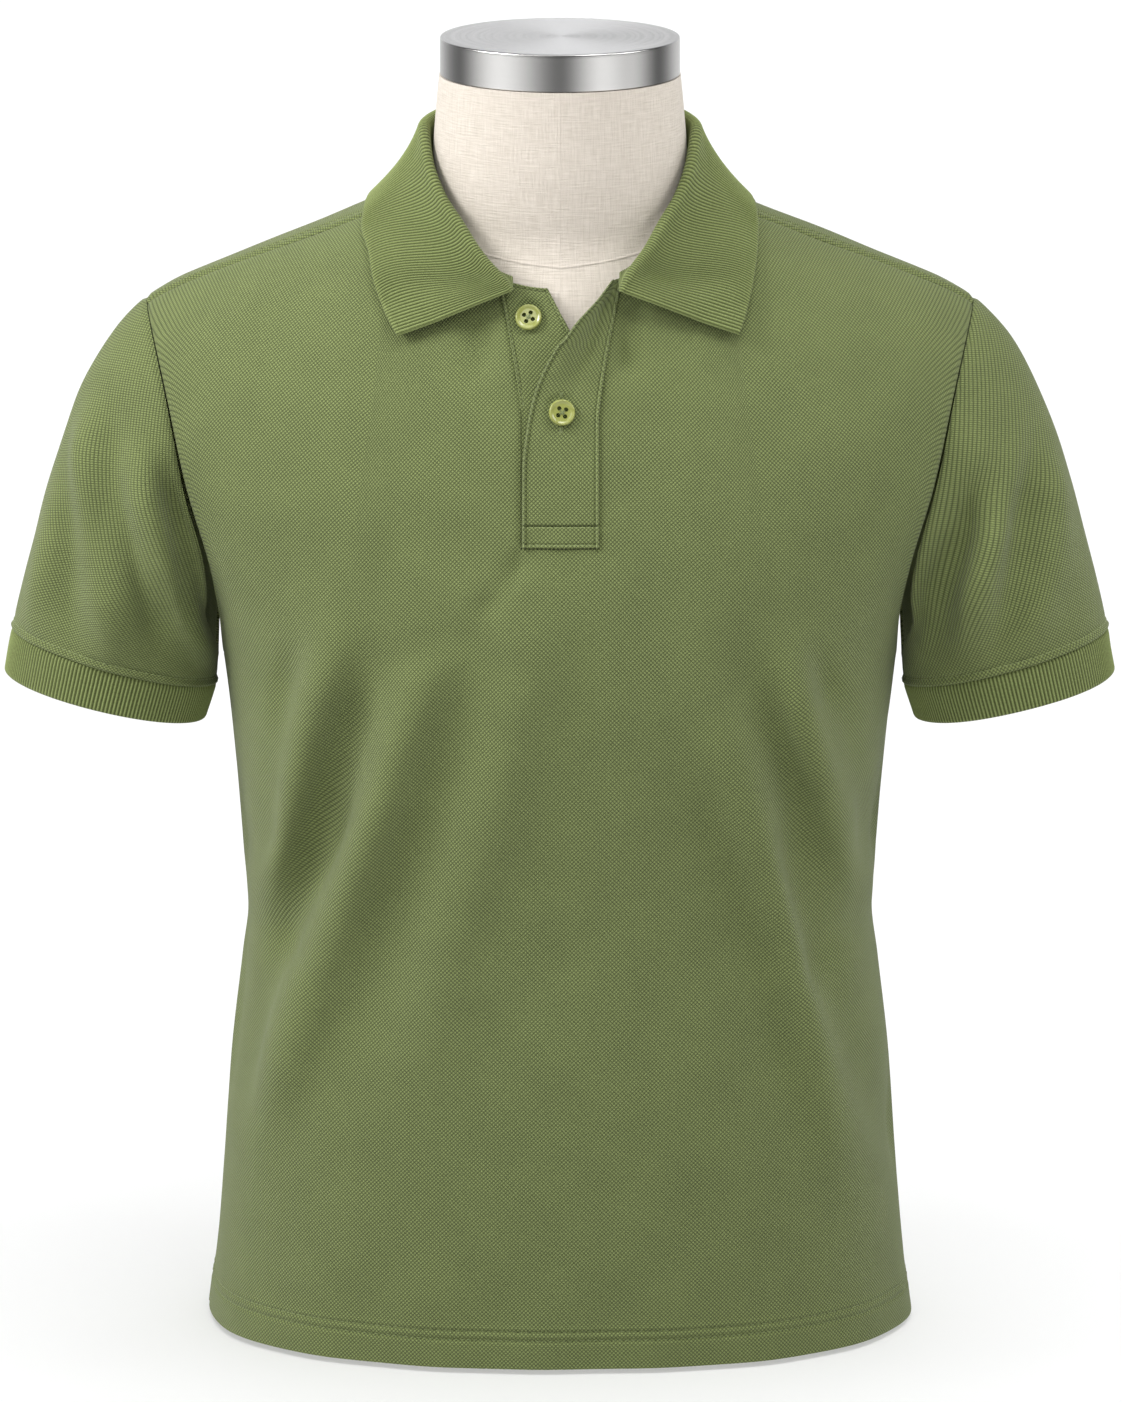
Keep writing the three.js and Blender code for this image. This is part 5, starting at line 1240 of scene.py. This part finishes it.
def button_at(name, node, face_grid, x, z):
    """One button on the face of a strip, with its thread, at a place seen from the front."""
    i, j = nearest(face_grid, x, z)
    centre, outward = face_grid[i, j], normals_of(face_grid)[i, j]
    down = face_grid[i - 3, j] - face_grid[i + 3, j]
    r, h, off = BUTTON["radius"], BUTTON["thickness"], BUTTON["off"]
    profile = [(0.6, 0), (r - 1.1, 0), (r - 0.6, 0.15), (r - 0.25, 0.55), (r, 1.3), (r - 0.05, 1.9),
               (r - 0.25, h - 0.45), (r - 0.5, h - 0.12), (r - 0.85, h), (r - 1.2, h - 0.1),
               (r - 1.6, h - 0.3), (r - 2.2, h - 0.6), (r - 2.9, h - 0.7), (0.6, h - 0.7)]
    points, faces = turned(profile, 72)
    disc = make_piece(name, seat(points + (0, 0, off), centre, outward, down), faces, resin, "button", [node])
    holes = []
    for sx in (-1, 1):
        for sy in (-1, 1):
            drill, drill_faces = turned([(BUTTON["hole"], -1), (BUTTON["hole"], h + 1)], 24)
            drill = drill + (sx * BUTTON["spread"], sy * BUTTON["spread"], off)
            mesh = bpy.data.meshes.new("drill")
            placed = seat(drill, centre, outward, down) * MM
            mesh.from_pydata(placed.tolist(), [], [f.tolist() for part in drill_faces for f in part])
            holes.append(bpy.data.objects.new("drill", mesh))
            bpy.context.scene.collection.objects.link(holes[-1])
            cut = disc.modifiers.new("hole", "BOOLEAN")
            cut.object = holes[-1]
            cut.operation = "DIFFERENCE"
            cut.solver = "EXACT"
    drawn = bpy.data.meshes.new_from_object(disc.evaluated_get(bpy.context.evaluated_depsgraph_get()))
    disc.modifiers.clear()
    disc.data = drawn
    drawn.shade_smooth()
    drawn.set_sharp_from_angle(angle=math.radians(40))
    for hole in holes:
        bpy.data.objects.remove(hole)
    s, count = BUTTON["spread"], THREAD["sides"]
    strands = []
    for a, b in (((-s, -s), (s, s)), ((-s, s), (s, -s))):
        for shift in (-THREAD["beside"], THREAD["beside"]):
            line = []
            for k in np.linspace(0.17, 0.83, 12):
                up = off + h - THREAD["depth"] + THREAD["arch"] * math.sin(math.pi * k) ** 0.5
                line.append((mix(a[0], b[0], k) + shift * 0.7,
                             mix(a[1], b[1], k) - shift * 0.7 * np.sign(b[1] - a[1]), up))
            strands.append(np.array(line))
    turn = np.arange(count) / count * 2 * math.pi
    points, quads = [], []
    for n, line in enumerate(strands):
        along = unit(np.gradient(line, axis=0))
        beside = unit(np.cross(along, (0, 0, 1)))
        above = np.cross(beside, along)
        ring = beside[:, None] * np.cos(turn)[:, None] + above[:, None] * np.sin(turn)[:, None]
        ids = np.arange(len(line) * count).reshape(len(line), count) + n * len(line) * count
        points.append((line[:, None] + ring * THREAD["radius"]).reshape(-1, 3))
        quads.append(grid_faces(ids).reshape(-1, 4)[:, ::-1])
    make_piece(name + "_thread", seat(np.concatenate(points), centre, outward, down),
               [np.concatenate(quads)], thread, "pique")


button_at("resin_button_upper", "button_upper", under_face, *UPPER_BUTTON)
button_at("resin_button_lower", "button_lower", over_face, *LOWER_BUTTON)

# Floor, light and camera
# A plain white floor that curves up into a backdrop far behind, a soft light from the upper left with
# weaker ones about it, and a camera at the photograph's distance and height.

paper, tree, shader = new_material("white paper", (0.93, 0.93, 0.935), 0.8)
# In metres: how far the floor reaches, where it turns up, and how high the backdrop is
FLOOR_REACH, TURN_Y, TURN_RADIUS, BACKDROP_TOP = 60, 14, 3, 12
bend = [(-FLOOR_REACH, 0)] + [(TURN_Y + TURN_RADIUS * math.sin(a), TURN_RADIUS - TURN_RADIUS * math.cos(a))
                              for a in np.radians(np.linspace(0, 90, 13))]
bend += [(TURN_Y + TURN_RADIUS, BACKDROP_TOP)]
points = [(x, y, z) for y, z in bend for x in (-FLOOR_REACH, FLOOR_REACH)]
ids = np.arange(len(points)).reshape(-1, 2).tolist()
mesh = bpy.data.meshes.new("floor")
mesh.from_pydata(points, [], [(a, b, d, c) for (a, b), (c, d) in zip(ids[:-1], ids[1:])])
mesh.shade_smooth()
floor = bpy.data.objects.new("floor", mesh)
floor.data.materials.append(paper)
bpy.context.scene.collection.objects.link(floor)

world = bpy.data.worlds.new("soft room")
bpy.context.scene.world = world
world.use_nodes = True
world.node_tree.nodes["Background"].inputs["Color"].default_value = (1, 1, 1, 1)
world.node_tree.nodes["Background"].inputs["Strength"].default_value = 0.2


def aim(thing, target):
    direction = Vector(target) - thing.location
    thing.rotation_euler = direction.to_track_quat("-Z", "Y").to_euler()


# Most lights fall on the shirt and form alone, and one on the floor alone, which stays white. A light
# with a size in metres is a soft square, in watts. One without is a wide sun.
LIGHTS = [
    ("key", (-1.65, -0.6, 1.75), 0.9, 43, "pieces"),
    ("fill", (-0.5, -2.1, 1.9), 1.2, 12, "pieces"),
    ("side", (1.7, -0.5, 1.7), 0.9, 14, "pieces"),
    ("top", (0.75, -0.85, 2.7), 0.8, 14, "pieces"),
    ("overhead", (0.4, -0.6, 7), None, 1.2, "all"),
    ("backdrop", (0, -5, 5), None, 2.2, "floor"),
]
lit = {"all": None}
for key, words in (("pieces", "floor left out"), ("floor", "floor only")):
    lit[key] = bpy.data.collections.new(words)
    lit[key].objects.link(floor)
lit["pieces"].collection_objects[0].light_linking.link_state = "EXCLUDE"
for name, place, size, power, on in LIGHTS:
    light = bpy.data.lights.new(name, "AREA" if size else "SUN")
    light.energy = power
    if size:
        light.size = size
    else:
        light.angle = math.radians(50)
    light.use_shadow = name != "backdrop"
    lamp = bpy.data.objects.new(name, light)
    lamp.location = place
    bpy.context.scene.collection.objects.link(lamp)
    aim(lamp, (0, 0, 0.4 if size else 0))
    lamp.light_linking.receiver_collection = lit[on]
bpy.context.scene.view_settings.view_transform = "Standard"

lens = bpy.data.cameras.new("camera")
lens.sensor_width = 36
lens.lens = 36 * 9000 / 1402
lens.clip_end = 100
camera = bpy.data.objects.new("camera", lens)
camera.location = (0, -4.8679, 1.4930)
bpy.context.scene.collection.objects.link(camera)
aim(camera, (0, 0, 0.3512))
lens.shift_x = 1 / 1402
bpy.context.scene.camera = camera
